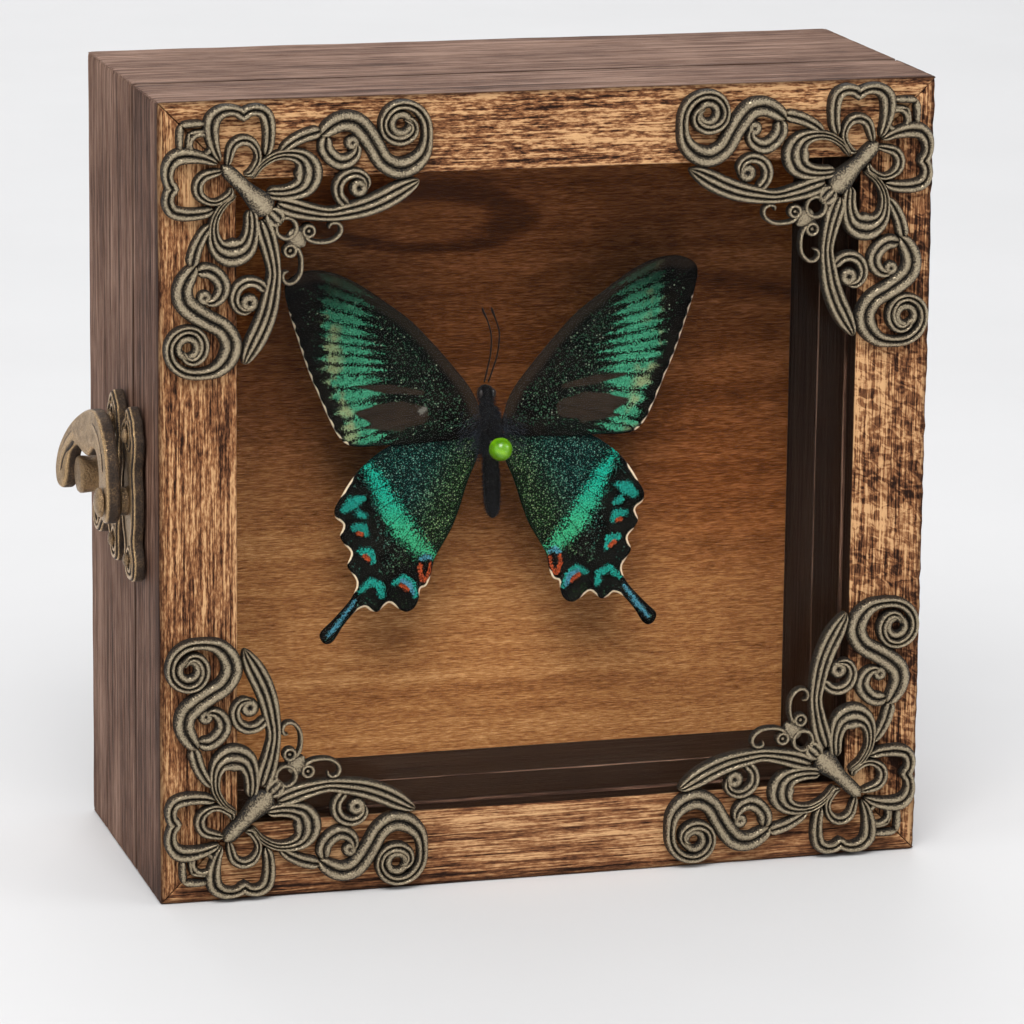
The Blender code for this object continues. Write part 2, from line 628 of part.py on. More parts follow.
chitin = principled("wing_scales", (0.02, 0.06, 0.05), 0.45)
for side_name, side in (("left", -1), ("right", 1)):
    for wing_name, outline, lift in (
        ("forewing", FOREWING, FOREWING_LIFT),
        ("hindwing", HINDWING, 0),
    ):
        name = f"{side_name}_{wing_name}"
        mesh = plate_mesh(name, mm(outline), WING_THICK)
        start = (BODY_X, WING_PLANE - lift, 0)
        placed(mesh, (side, 0, 0), (0, 0, 1), (0, -1, 0), start)
        add_part(name, mesh, chitin)

# The body is one turned form, bent at the pin: its head and its tail both lie a little to -X
# and +X of an upright line.
BODY_PROFILE = [
    (0.0, 90.9), (0.9, 90.6), (1.5, 89.4), (1.4, 88.0), (1.1, 87.2), (1.9, 85.8), (2.3, 83.4),
    (2.3, 80.6), (2.0, 78.4), (1.6, 77.0), (1.9, 74.4), (1.9, 70.4), (1.6, 67.0), (0.9, 64.9),
    (0.0, 64.4),
]
BODY_DEPTH = -4.8 * MM
HEAD_LEAN = 0.093  # sideways for each unit of height above the pin
TAIL_LEAN = 0.045  # and below it
BODY_REACH = 6 * MM  # a drill this far in front of the body's axis goes right through it
pin_hole = PIN_RADIUS + GAP
body = turned_mesh("butterfly_body", mm(BODY_PROFILE), 12)
for vertex in body.vertices:
    above = vertex.co.z - PIN_Z
    vertex.co.x += BODY_X - HEAD_LEAN * max(0.0, above) - TAIL_LEAN * min(0.0, above)
    vertex.co.y += BODY_DEPTH
body_part = add_part("butterfly_body", body, principled("dark_fur", (0.012, 0.012, 0.014), 0.8))
drill(body_part, (PIN_X, BODY_DEPTH - BODY_REACH, PIN_Z), (0, 1, 0), pin_hole, 2 * BODY_REACH)

ANTENNA_RADIUS = 0.17 * MM
ANTENNA_DEPTH = BODY_DEPTH - 0.6 * MM
LEFT_ANTENNA = [
    (-5.6, 91.4), (-5.0, 94.0), (-4.4, 97.0), (-4.3, 100.4), (-5.0, 103.2), (-5.9, 105.2),
    (-6.1, 106.0),
]
RIGHT_ANTENNA = [
    (-4.8, 91.4), (-3.9, 94.0), (-3.0, 97.0), (-2.7, 100.8), (-3.4, 103.4), (-4.1, 105.2),
    (-4.3, 106.0),
]
for name, path in (("left_antenna", LEFT_ANTENNA), ("right_antenna", RIGHT_ANTENNA)):
    curve = bpy.data.curves.new(name, "CURVE")
    curve.dimensions = "3D"
    curve.bevel_depth = ANTENNA_RADIUS
    curve.bevel_resolution = 2
    curve.use_fill_caps = True
    spline = curve.splines.new("POLY")
    spline.points.add(len(path) - 1)
    for point, (x, z) in zip(spline.points, mm(path)):
        point.co = (x, ANTENNA_DEPTH, z, 1)
    curve.materials.append(principled("dark_fur", (0.012, 0.012, 0.014), 0.8))
    parts.objects.link(bpy.data.objects.new(name, curve))

# The pin stands in a blind hole in the panel. Its head is a moulded bead.
PIN_DEPTH = 3 * MM
PIN_POINT = 1 * MM
PIN_TIP = PANEL_FACE + PIN_DEPTH
PIN_HOLE_BOTTOM = 0.4 * MM
bead_back = BEAD_CENTRE + BEAD_RADIUS
shaft_profile = [
    (0, -(bead_back + GAP)),
    (PIN_RADIUS, -(bead_back + GAP)),
    (PIN_RADIUS, -(PIN_TIP - PIN_POINT)),
    (0, -PIN_TIP),
]
shaft = turned_mesh("specimen_pin", shaft_profile, 8)
placed(shaft, (1, 0, 0), (0, 0, 1), (0, -1, 0), (PIN_X, 0, PIN_Z))
add_part("specimen_pin", shaft, principled("pin_steel", (0.5, 0.5, 0.5), 0.3, 1.0))
panel_bore = DRILL_LEAD + PIN_DEPTH + PIN_HOLE_BOTTOM
drill(panel, (PIN_X, PANEL_FACE - DRILL_LEAD, PIN_Z), (0, 1, 0), pin_hole, panel_bore)

work = bmesh.new()
bmesh.ops.create_uvsphere(work, u_segments=14, v_segments=8, radius=BEAD_RADIUS)
bead = bpy.data.meshes.new("pin_head")
work.to_mesh(bead)
work.free()
bead.shade_smooth()
bead.transform(Matrix.Translation((PIN_X, BEAD_CENTRE, PIN_Z)))
add_part("pin_head", bead, principled("lime_bead", (0.35, 0.6, 0.02), 0.15))
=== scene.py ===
"""A small green swallowtail pinned in a deep wooden box, behind a glazed door with four cast
corners, a hook latch on the left and two butt hinges on the right. The sections follow the
box as it is put together: case, panel, door, glass, castings, latch, hinges, then the insect.
"""

import math

import bmesh
import bpy
import numpy as np
from mathutils import Matrix, Vector, geometry, noise


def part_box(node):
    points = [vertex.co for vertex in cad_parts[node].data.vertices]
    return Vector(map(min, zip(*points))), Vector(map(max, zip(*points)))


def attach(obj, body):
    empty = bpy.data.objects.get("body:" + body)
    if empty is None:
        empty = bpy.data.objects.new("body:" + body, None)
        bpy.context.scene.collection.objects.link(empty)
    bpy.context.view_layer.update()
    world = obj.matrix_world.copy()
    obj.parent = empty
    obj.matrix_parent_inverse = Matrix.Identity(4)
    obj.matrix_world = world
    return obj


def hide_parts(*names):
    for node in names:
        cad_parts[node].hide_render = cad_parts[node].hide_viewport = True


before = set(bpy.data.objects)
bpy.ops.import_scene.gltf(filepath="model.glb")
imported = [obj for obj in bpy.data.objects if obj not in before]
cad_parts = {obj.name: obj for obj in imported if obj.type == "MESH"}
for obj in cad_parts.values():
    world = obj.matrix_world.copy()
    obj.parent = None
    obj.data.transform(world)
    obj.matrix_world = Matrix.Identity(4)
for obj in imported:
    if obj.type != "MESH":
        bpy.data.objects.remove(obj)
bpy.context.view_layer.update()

# Camera. It stands a metre away, a little to the left of the box and above it, and looks
# down on the door.
MM = 0.001
camera_turn = math.radians(15.923)
camera_tilt = math.radians(-13.492)
camera_roll = math.radians(0.62)
ahead = Vector((
    math.sin(camera_turn) * math.cos(camera_tilt),
    math.cos(camera_turn) * math.cos(camera_tilt),
    math.sin(camera_tilt),
))
level_right = Vector((math.cos(camera_turn), -math.sin(camera_turn), 0))
level_up = level_right.cross(ahead)
right = math.cos(camera_roll) * level_right + math.sin(camera_roll) * level_up
up = math.cos(camera_roll) * level_up - math.sin(camera_roll) * level_right
camera = bpy.data.objects.new("camera", bpy.data.cameras.new("camera"))
camera.data.lens = 185.57
camera.data.sensor_width = 36
camera.matrix_world = Matrix.Translation((-0.27147, -0.95786, 0.30311)) @ Matrix(
    (right, up, -ahead)
).transposed().to_4x4()
bpy.context.scene.collection.objects.link(camera)
bpy.context.scene.camera = camera

# Studio. A pale painted floor sweeps up into a round wall. Four soft boxes light it: the key
# above the door, weak fills at the left and the right, and a rim behind.
FLOOR_RADIUS = 2.2
WALL_RADIUS = 3.4
WALL_HEIGHT = 1.9
FLOOR_PALE = (0.77, 0.76, 0.755)
FLOOR_DULL = (0.745, 0.735, 0.73)


def shader(tree, kind, sockets=None, **settings):
    """One node of a material. A socket's value is a number, a colour or another node's socket."""
    made = tree.nodes.new("ShaderNode" + kind)
    for key, value in settings.items():
        setattr(made, key, value)
    for key, value in (sockets or {}).items():
        if isinstance(value, bpy.types.NodeSocket):
            tree.links.new(value, made.inputs[key])
        else:
            made.inputs[key].default_value = value
    return made


def new_finish(name):
    """An empty material with its output, and the object's own coordinates in metres."""
    material = bpy.data.materials.new(name)
    material.use_nodes = True
    tree = material.node_tree
    tree.nodes.clear()
    output = shader(tree, "OutputMaterial")
    place = shader(tree, "TexCoord").outputs["Object"]
    return material, tree, output, place


def grain(tree, place, spread, detail=3.0, roughness=0.55, distortion=0.0, shift=(0, 0, 0)):
    """Noise with its own scale along each axis, in cycles a metre."""
    scaled = shader(
        tree, "Mapping", {"Vector": place, "Scale": spread, "Location": shift}
    ).outputs["Vector"]
    return shader(
        tree,
        "TexNoise",
        {
            "Vector": scaled,
            "Scale": 1.0,
            "Detail": detail,
            "Roughness": roughness,
            "Distortion": distortion,
        },
    ).outputs["Fac"]


def maths(tree, operation, first, second=0.0, third=0.0):
    """One sum with sockets or numbers. MULTIPLY_ADD is first times second, plus third."""
    return shader(tree, "Math", {0: first, 1: second, 2: third}, operation=operation).outputs[0]


def between(tree, value, low, high, start=0.0, end=1.0):
    """A smooth step: start below low, end above high."""
    return shader(
        tree,
        "MapRange",
        {"Value": value, "From Min": low, "From Max": high, "To Min": start, "To Max": end},
        interpolation_type="SMOOTHSTEP",
    ).outputs[0]


def tones(tree, value, stops):
    """A colour ramp from (place, colour) stops."""
    made = shader(tree, "ValToRGB", {"Fac": value})
    ramp = made.color_ramp
    while len(ramp.elements) < len(stops):
        ramp.elements.new(0.5)
    for element, (position, colour) in zip(ramp.elements, stops):
        element.position = position
        element.color = (*colour, 1)
    return made.outputs["Color"]


def blended(tree, share, first, second):
    """Mixes two colours. A colour is a socket or three numbers."""
    made = shader(tree, "Mix", data_type="RGBA")
    for key, value in ((0, share), (6, first), (7, second)):
        if isinstance(value, bpy.types.NodeSocket):
            tree.links.new(value, made.inputs[key])
        elif key:
            made.inputs[key].default_value = (*value, 1)
        else:
            made.inputs[key].default_value = value
    return made.outputs[2]


def painted(tree, name):
    """A value that the mesh carries at each of its points."""
    return shader(tree, "Attribute", attribute_name=name).outputs["Fac"]


def relief(tree, height, depth, strength=1.0):
    """Bump from a 0 to 1 height, where 1 is depth metres high."""
    return shader(
        tree, "Bump", {"Height": height, "Distance": depth, "Strength": strength}
    ).outputs["Normal"]


def surface(tree, output, sockets):
    """Ends a material in one coat with these socket values."""
    coat = shader(tree, "BsdfPrincipled", sockets)
    tree.links.new(coat.outputs[0], output.inputs["Surface"])


def skin(work, rings, closed=False, capped=True):
    """Faces from each ring of points to the next; closed joins the last ring to the first."""
    for ring, following in zip(rings, rings[1:] + (rings[:1] if closed else [])):
        for side in range(len(ring)):
            after = (side + 1) % len(ring)
            work.faces.new((ring[side], ring[after], following[after], following[side]))
    if capped and not closed:
        work.faces.new(rings[0])
        work.faces.new(rings[-1])


def finished_mesh(work, name, sharp=60):
    """Turns the work into a smooth mesh whose edges steeper than sharp degrees stay sharp."""
    bmesh.ops.recalc_face_normals(work, faces=work.faces)
    mesh = bpy.data.meshes.new(name)
    work.to_mesh(mesh)
    work.free()
    mesh.shade_smooth()
    mesh.set_sharp_from_angle(angle=math.radians(sharp))
    return mesh


sweep = bmesh.new()
sweep_rings = [(0.5, 0.0), (1.2, 0.0), (FLOOR_RADIUS, 0.0)]
for step in range(1, 13):
    turn = math.pi / 2 * step / 12
    sweep_rings.append((
        FLOOR_RADIUS + (WALL_RADIUS - FLOOR_RADIUS) * math.sin(turn),
        (WALL_RADIUS - FLOOR_RADIUS) * (1 - math.cos(turn)),
    ))
sweep_rings.append((WALL_RADIUS, WALL_HEIGHT))
sweep_sides = 96
sweep_points = [
    [
        sweep.verts.new((
            radius * math.cos(2 * math.pi * side / sweep_sides),
            radius * math.sin(2 * math.pi * side / sweep_sides),
            height,
        ))
        for side in range(sweep_sides)
    ]
    for radius, height in sweep_rings
]
sweep.faces.new(sweep_points[0])
skin(sweep, sweep_points, capped=False)
floor_mesh = finished_mesh(sweep, "studio_floor")
studio_floor = bpy.data.objects.new("studio_floor", floor_mesh)
bpy.context.scene.collection.objects.link(studio_floor)
floor_finish, tree, output, place = new_finish("floor_paint")
floor_cloud = grain(tree, place, (9, 9, 9), detail=4)
floor_mottle = tones(tree, floor_cloud, [(0.3, FLOOR_DULL), (0.7, FLOOR_PALE)])
surface(tree, output, {"Base Color": floor_mottle, "Roughness": 0.75})
floor_mesh.materials.append(floor_finish)

for lamp_name, spot, width, height, power in (
    ("key_softbox", (-0.35, -1.05, 1.45), 1.1, 0.8, 21),
    ("fill_softbox", (-1.7, -0.5, 0.75), 1.0, 1.0, 5),
    ("right_softbox", (1.5, -0.9, 0.9), 0.9, 0.9, 5),
    ("rear_softbox", (0.2, 1.6, 1.2), 1.2, 0.8, 9),
):
    lamp = bpy.data.objects.new(lamp_name, bpy.data.lights.new(lamp_name, "AREA"))
    lamp.data.shape = "RECTANGLE"
    lamp.data.size = width
    lamp.data.size_y = height
    lamp.data.energy = power
    lamp.location = spot
    lamp.rotation_euler = (Vector((0, 0, 0.08)) - Vector(spot)).to_track_quat("-Z", "Y").to_euler()
    bpy.context.scene.collection.objects.link(lamp)

studio_air = bpy.data.worlds.new("studio_air")
studio_air.use_nodes = True
studio_air.node_tree.nodes["Background"].inputs["Color"].default_value = (0.93, 0.96, 1, 1)
studio_air.node_tree.nodes["Background"].inputs["Strength"].default_value = 0.62
bpy.context.scene.world = studio_air
bpy.context.scene.view_settings.view_transform = "Standard"

# Case walls. Four mitred softwood boards, scorched, wire-brushed along the grain and stained
# dark. They are glued at the mitres, grooved for the panel and rabbeted for the rear board.
case_low, case_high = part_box("case_left_wall")
WALL_THICK = case_high.x - case_low.x
BOX_HALF = -case_low.x
BOX_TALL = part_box("case_top_wall")[1].z
CASE_FRONT = case_low.y
CASE_BACK = case_high.y
PANEL_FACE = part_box("display_panel")[0].y
PANEL_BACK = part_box("display_panel")[1].y
GROOVE = 3.6 * MM
RABBET = 4 * MM
rear_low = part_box("rear_board")[0].y
ARRIS = 0.55 * MM  # every long edge is eased by this radius
MITRE_GAP = 0.15 * MM
BRUSH_DEPTH = 0.16 * MM  # how deep the brush has cut the soft wood between the hard rings
BOARD_STEP = 0.62 * MM  # between points round a board
BOARD_RUN = 1.9 * MM  # and along it


def eased_outline(corners, hidden, step):
    """Points round a board's section with each corner rounded, and which of them are hidden."""
    points = []
    covered = []
    count = len(corners)
    for place, corner in enumerate(corners):
        before = np.array(corners[place - 1])
        corner = np.array(corner)
        after = np.array(corners[(place + 1) % count])
        ease = min(ARRIS, 0.3 * np.linalg.norm(before - corner), 0.3 * np.linalg.norm(after - corner))
        start = corner + (before - corner) / np.linalg.norm(before - corner) * ease
        end = corner + (after - corner) / np.linalg.norm(after - corner) * ease
        for share in (0, 0.33, 0.67, 1):
            points.append((1 - share) ** 2 * start + 2 * share * (1 - share) * corner + share**2 * end)
            covered.append(place in hidden)
        far = after + (corner - after) / np.linalg.norm(corner - after) * ease
        pieces = max(1, round(np.linalg.norm(far - end) / step))
        inside = place in hidden and (place + 1) % count in hidden
        for piece in range(1, 1 if inside else pieces):
            points.append(end + (far - end) * piece / pieces)
            covered.append(inside)
    return np.array(points), covered


def board_mesh(name, corners, hidden, edge, front, seed, brushed=True, rough_edge=0.0):
    """A mitred board on one edge of the box. corners are (in from the side, back from front),
    and brushed says that its front was brushed until the wood showed pale."""
    outline, covered = eased_outline(corners, hidden, BOARD_STEP)
    tangent = np.roll(outline, -1, axis=0) - np.roll(outline, 1, axis=0)
    tangent /= np.linalg.norm(tangent, axis=1)[:, None]
    outward = np.stack([tangent[:, 1], -tangent[:, 0]], axis=1)
    area = np.sum(outline[:, 0] * np.roll(outline[:, 1], -1) - outline[:, 1] * np.roll(outline[:, 0], -1))
    outward *= np.sign(area)
    upright = edge in ("left", "right")
    length = BOX_TALL if upright else 2 * BOX_HALF
    runs = max(2, round(length / BOARD_RUN))
    ease_ends = np.array([MITRE_GAP, 0.9 * MM, 1.8 * MM])
    stations = np.concatenate([
        ease_ends / length,
        np.linspace(ease_ends[-1] / length, 1 - ease_ends[-1] / length, runs)[1:-1],
        1 - ease_ends[::-1] / length,
    ])
    work = bmesh.new()
    marks = {
        key: work.verts.layers.float.new(key) for key in ("front", "arris", "inside", "groove")
    }
    rings = []
    for share in stations:
        ring = []
        for (inward, back), (out_in, out_back), hide in zip(outline, outward, covered):
            margin = inward + MITRE_GAP
            along = margin + (share * length - MITRE_GAP) / (length - 2 * MITRE_GAP) * (length - 2 * margin)
            at = Vector((inward, back, along)) / MM
            soft = noise.noise(Vector((at.x * 0.42, at.y * 0.42, at.z * 0.035)) + Vector((seed, 0, 0)))
            fine = noise.noise(Vector((at.x * 0.9, at.y * 0.9, at.z * 0.09)) + Vector((0, seed, 9)))
            cut = max(0.0, min(1.0, 0.5 + 0.7 * soft + 0.55 * fine))
            wave = noise.noise(Vector((at.x * 0.05, at.z * 0.02, seed)))
            depth = 0.0 if hide else BRUSH_DEPTH * cut + 0.08 * MM * (0.5 + 0.5 * wave)
            from_corner = np.hypot(inward, back)
            if rough_edge and not hide:
                chips = noise.noise(Vector((at.z * 0.36, at.x * 0.25, seed + 4)))
                near = math.exp(-from_corner / (1.6 * MM))
                depth += rough_edge * near * (0.5 + 0.9 * chips)
            end_gap = min(share, 1 - share) * length
            depth += 0.18 * MM * math.exp(-((end_gap / (0.6 * MM)) ** 2)) * (not hide)
            depth = max(0.0, depth)
            inward_now = inward - out_in * depth
            back_now = back - out_back * depth
            spot = {
                "left": (-BOX_HALF + inward_now, front + back_now, along),
                "right": (BOX_HALF - inward_now, front + back_now, along),
                "bottom": (-BOX_HALF + along, front + back_now, inward_now),
                "top": (-BOX_HALF + along, front + back_now, BOX_TALL - inward_now),
            }[edge]
            vertex = work.verts.new(spot)
            facing = max(0.0, min(1.0, (-out_back - 0.35) / 0.4))
            vertex[marks["front"]] = facing if brushed and back < 1 * MM else 0.0
            vertex[marks["arris"]] = math.exp(-from_corner / (1.5 * MM))
            vertex[marks["inside"]] = max(0.0, out_in)
            vertex[marks["groove"]] = cut
            ring.append(vertex)
        rings.append(ring)
    skin(work, rings)
    return finished_mesh(work, name, 50)


def add_piece(name, mesh, finish, body, slot, *nodes):
    """Puts a finished mesh in the scene in place of its CAD nodes."""
    mesh.materials.clear()
    mesh.materials.append(finish)
    piece = bpy.data.objects.new(name, mesh)
    bpy.context.scene.collection.objects.link(piece)
    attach(piece, body)
    if nodes:
        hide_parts(*nodes)


CHAR = (0.020, 0.0080, 0.0042)
SCORCHED = (0.120, 0.046, 0.0205)
RUSSET = (0.275, 0.113, 0.045)
BRUSHED_TAN = (0.70, 0.40, 0.190)
SIDE_DARK = (0.046, 0.0220, 0.0148)
SIDE_BROWN = (0.150, 0.076, 0.049)
SIDE_PALE = (0.33, 0.200, 0.142)


def brushed_wood(name, run, seed, flecks=0.5, ripple=0.0, lift=0.0, side_lift_and_top_light=0.0):
    """Scorched and brushed softwood whose grain runs along x or z. flecks is the share of short
    broken fibres on its front, ripple the strength of curly figure, and lift brightens it."""
    material, tree, output, place = new_finish(name)

    def along_board(across, along):
        return (along, across, across) if run == "x" else (across, across, along)

    def added(total, part, share):
        return maths(tree, "MULTIPLY_ADD", maths(tree, "SUBTRACT", part, 0.5), share, total)

    shift = (seed * 0.37, seed * 0.11, seed * 0.53)
    fibres = grain(tree, place, along_board(3300, 150), detail=3, roughness=0.6, shift=shift)
    threads = grain(tree, place, along_board(1500, 24), detail=2, shift=shift)
    rings = grain(tree, place, along_board(330, 6), detail=2, distortion=0.4, shift=shift)
    cloud = grain(tree, place, (45, 45, 45), detail=3, shift=shift)
    fleck = grain(tree, place, along_board(2300, 640), detail=3, roughness=0.65, shift=shift)
    front = painted(tree, "front")
    value = added(0.49 + lift, fibres, 1.15)
    value = added(value, threads, 0.85)
    value = added(value, rings, 0.45)
    value = added(value, cloud, 0.35)
    value = added(value, painted(tree, "groove"), -0.14)
    value = added(value, fleck, 0.35 + 1.1 * flecks)
    if ripple:
        tilted = shader(
            tree, "Mapping", {"Vector": place, "Rotation": (0, math.radians(-24), 0)}
        ).outputs["Vector"]
        curl = grain(tree, tilted, (380, 380, 760), detail=2.5, distortion=0.9, shift=shift)
        crescents = between(tree, curl, 0.40, 0.62)
        zones = grain(tree, tilted, (20, 20, 75), detail=1.5, shift=(0.2, 0, seed * 0.31))
        bright = between(tree, zones, 0.40, 0.62, -0.14, 0.14)
        value = maths(tree, "ADD", value, bright)
        value = added(value, crescents, 0.26 * ripple)
    front_tone = tones(
        tree,
        value,
        [(0.22, CHAR), (0.38, SCORCHED), (0.53, RUSSET), (0.78, BRUSHED_TAN)],
    )
    # The sides' tone is lifted for each board; on the top boards part of the lift is painted light from the
    # lamps above.
    side_value = added(0.5 + side_lift_and_top_light, fibres, 1.0)
    side_value = added(side_value, threads, 1.1)
    side_value = added(side_value, rings, 0.55)
    side_value = added(side_value, cloud, 0.5)
    side_tone = tones(
        tree, side_value, [(0.24, SIDE_DARK), (0.5, SIDE_BROWN), (0.80, SIDE_PALE)]
    )
    inside = between(tree, painted(tree, "inside"), 0.2, 0.8, 0.0, 0.93)
    side_tone = blended(tree, inside, side_tone, (0.012, 0.0055, 0.003))
    colour = blended(tree, front, side_tone, front_tone)
    edge = between(tree, painted(tree, "arris"), 0.25, 0.95, 0.0, 0.75)
    colour = blended(tree, edge, colour, CHAR)
    rough = maths(tree, "MULTIPLY_ADD", value, -0.14, 0.70)
    height = maths(tree, "MULTIPLY_ADD", fibres, 0.7, maths(tree, "MULTIPLY", fleck, 0.4))
    height = maths(tree, "MULTIPLY_ADD", threads, 0.5, height)
    surface(tree, output, {
        "Base Color": colour,
        "Roughness": rough,
        "Specular IOR Level": 0.09,
        "Normal": relief(tree, height, 0.35 * MM),
    })
    return material


case_deep = CASE_BACK - CASE_FRONT
panel_in = PANEL_FACE - CASE_FRONT
panel_out = PANEL_BACK - CASE_FRONT
rabbet_in = rear_low - CASE_FRONT - 0.3 * MM
CASE_SECTION = [
    (0, 0),
    (WALL_THICK, 0),
    (WALL_THICK, panel_in - 0.1 * MM),
    (WALL_THICK - GROOVE, panel_in - 0.1 * MM),
    (WALL_THICK - GROOVE, panel_out + 0.1 * MM),
    (WALL_THICK, panel_out + 0.1 * MM),
    (WALL_THICK, rabbet_in),
    (WALL_THICK - RABBET, rabbet_in),
    (WALL_THICK - RABBET, case_deep),
    (0, case_deep),
]
HIDDEN_IN_CASE = {2, 3, 4, 5}
for edge, seed in (("left", 3.1), ("right", 8.3), ("top", 5.9), ("bottom", 12.7)):
    run = "z" if edge in ("left", "right") else "x"
    node = f"case_{edge}_wall"
    mesh = board_mesh(node + "_wood", CASE_SECTION, HIDDEN_IN_CASE, edge, CASE_FRONT, seed, False)
    # The top wall's outer faces get 0.05 more: painted light from above.
    finish = brushed_wood(node + "_finish", run, seed, side_lift_and_top_light=0.03 + 0.05 * (edge == "top"))
    add_piece(node + "_wood", mesh, finish, "case", "burnt_wood", node)

# Door frame. Four mitred boards of the same wood, brushed harder on the front so that the
# hard grain stands out tan. A groove inside them holds the glass.
door_low, door_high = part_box("door_left_stile")
DOOR_FRONT = door_low.y
door_deep = door_high.y - DOOR_FRONT
glass_low, glass_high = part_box("glass_pane")
glass_in = glass_low.y - DOOR_FRONT
glass_out = glass_high.y - DOOR_FRONT
DOOR_SECTION = [
    (0, 0),
    (WALL_THICK, 0),
    (WALL_THICK, glass_in - 0.1 * MM),
    (WALL_THICK - GROOVE, glass_in - 0.1 * MM),
    (WALL_THICK - GROOVE, glass_out + 0.1 * MM),
    (WALL_THICK, glass_out + 0.1 * MM),
    (WALL_THICK, door_deep),
    (0, door_deep),
]
HIDDEN_IN_DOOR = {2, 3, 4, 5}
for edge, node, seed, flecks, ripple, lift in (
    ("left", "door_left_stile", 21.4, 0.6, 0.0, 0.03),
    ("right", "door_right_stile", 27.9, 0.3, 1.0, 0.0),
    ("top", "door_top_rail", 33.2, 0.9, 0.0, 0.09),
    ("bottom", "door_bottom_rail", 39.6, 0.2, 0.0, 0.02),
):
    run = "z" if edge in ("left", "right") else "x"
    rough_edge = 0.45 * MM if edge == "right" else 0.0
    mesh = board_mesh(
        node + "_wood", DOOR_SECTION, HIDDEN_IN_DOOR, edge, DOOR_FRONT, seed, True, rough_edge
    )
    # The top rail's sides are painted lighter, as painted light from above; the other door sides are a
    # darker tone of wood.
    side_lift_and_top_light = 0.06 if edge == "top" else -0.10
    finish = brushed_wood(node + "_finish", run, seed, flecks, ripple, lift, side_lift_and_top_light)
    add_piece(node + "_wood", mesh, finish, "door", "burnt_wood", node)

# Display panel. One stained board with fine level grain and a sapwood figure, slid into the
# case's groove. The pin goes into it.
def dress(node, finish):
    """Gives its finish to a CAD node that stays in the scene."""
    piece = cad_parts[node]
    piece.data.materials.clear()
    piece.data.materials.append(finish)


# Its colour is the stain's, painted darker over the upper part as painted shade from the top of the case.
panel_finish, tree, output, place = new_finish("panel_stain_and_painted_shade")
FIGURE_X = -12 * MM
FIGURE_Z = 119 * MM
KNOT_X = 50 * MM
KNOT_Z = 106 * MM
# The painted shade deepens between these two heights.
TOP_SHADE_FROM = 50 * MM
TOP_SHADE_TO = 94 * MM
parts_of_place = shader(tree, "SeparateXYZ", {"Vector": place}).outputs
figure_x = maths(tree, "DIVIDE", maths(tree, "SUBTRACT", parts_of_place[0], FIGURE_X), 34 * MM)
figure_z = maths(tree, "DIVIDE", maths(tree, "SUBTRACT", parts_of_place[2], FIGURE_Z), 9 * MM)
figure_far = maths(
    tree, "ADD", maths(tree, "POWER", figure_x, 2.0), maths(tree, "POWER", figure_z, 2.0)
)
swell = maths(tree, "EXPONENT", maths(tree, "MULTIPLY", figure_far, -1.0))
warp = grain(tree, place, (14, 14, 60), detail=2)
ring_height = maths(tree, "MULTIPLY_ADD", parts_of_place[2], 210.0, 3.0)
ring_height = maths(tree, "MULTIPLY_ADD", swell, 4.6, ring_height)
ring_height = maths(tree, "MULTIPLY_ADD", warp, 5.0, ring_height)
ring_tone = maths(tree, "SINE", maths(tree, "MULTIPLY", ring_height, 1.15))
ring_line = between(tree, ring_tone, 0.55, 1.0)
pores = grain(tree, place, (620, 900, 5200), detail=3, roughness=0.7)
strands = grain(tree, place, (190, 300, 2600), detail=3, roughness=0.65)
bands = grain(tree, place, (11, 60, 190), detail=3)
lightness = maths(tree, "MULTIPLY_ADD", pores, 1.5, -0.75)
lightness = maths(tree, "MULTIPLY_ADD", strands, 1.1, maths(tree, "SUBTRACT", lightness, 0.55))
lightness = maths(tree, "MULTIPLY_ADD", bands, 0.9, maths(tree, "SUBTRACT", lightness, 0.45))
figured = maths(tree, "MULTIPLY", between(tree, swell, 0.02, 0.5), ring_line)
lightness = maths(tree, "MULTIPLY_ADD", figured, -0.42, lightness)
knot_x = maths(tree, "DIVIDE", maths(tree, "SUBTRACT", parts_of_place[0], KNOT_X), 22 * MM)
knot_z = maths(tree, "SUBTRACT", parts_of_place[2], KNOT_Z)
knot_z = maths(tree, "MULTIPLY_ADD", knot_x, 2.6 * MM, knot_z)
knot_z = maths(tree, "DIVIDE", knot_z, 2.2 * MM)
knot_far = maths(tree, "ADD", maths(tree, "POWER", knot_x, 2.0), maths(tree, "POWER", knot_z, 2.0))
knot_shade = maths(tree, "EXPONENT", maths(tree, "MULTIPLY", knot_far, -1.0))
lightness = maths(tree, "MULTIPLY_ADD", knot_shade, -0.5, lightness)
# Painted shade: the colour darkens towards the top, a little more on the right, with ragged bands.
top_shade_height = maths(tree, "MULTIPLY_ADD", bands, 26 * MM, parts_of_place[2])
top_shade_height = maths(tree, "MULTIPLY_ADD", parts_of_place[0], 0.28, top_shade_height)
painted_top_shade = between(tree, top_shade_height, TOP_SHADE_FROM, TOP_SHADE_TO)
panel_tone_unshaded = tones(
    tree,
    maths(tree, "ADD", lightness, 0.5),
    [(0.05, (0.14, 0.044, 0.011)), (0.5, (0.37, 0.150, 0.048)), (0.95, (0.67, 0.35, 0.140))],
)
panel_tone_in_painted_shade = tones(
    tree,
    maths(tree, "ADD", lightness, 0.5),
    [(0.05, (0.058, 0.014, 0.0028)), (0.5, (0.180, 0.053, 0.0115)), (0.95, (0.40, 0.150, 0.042))],
)
surface(tree, output, {
    "Base Color": blended(tree, painted_top_shade, panel_tone_unshaded, panel_tone_in_painted_shade),
    "Roughness": maths(tree, "MULTIPLY_ADD", pores, 0.25, 0.42),
    "Specular IOR Level": 0.05,
    "Normal": relief(tree, pores, 0.12 * MM),
})
dress("display_panel", panel_finish)

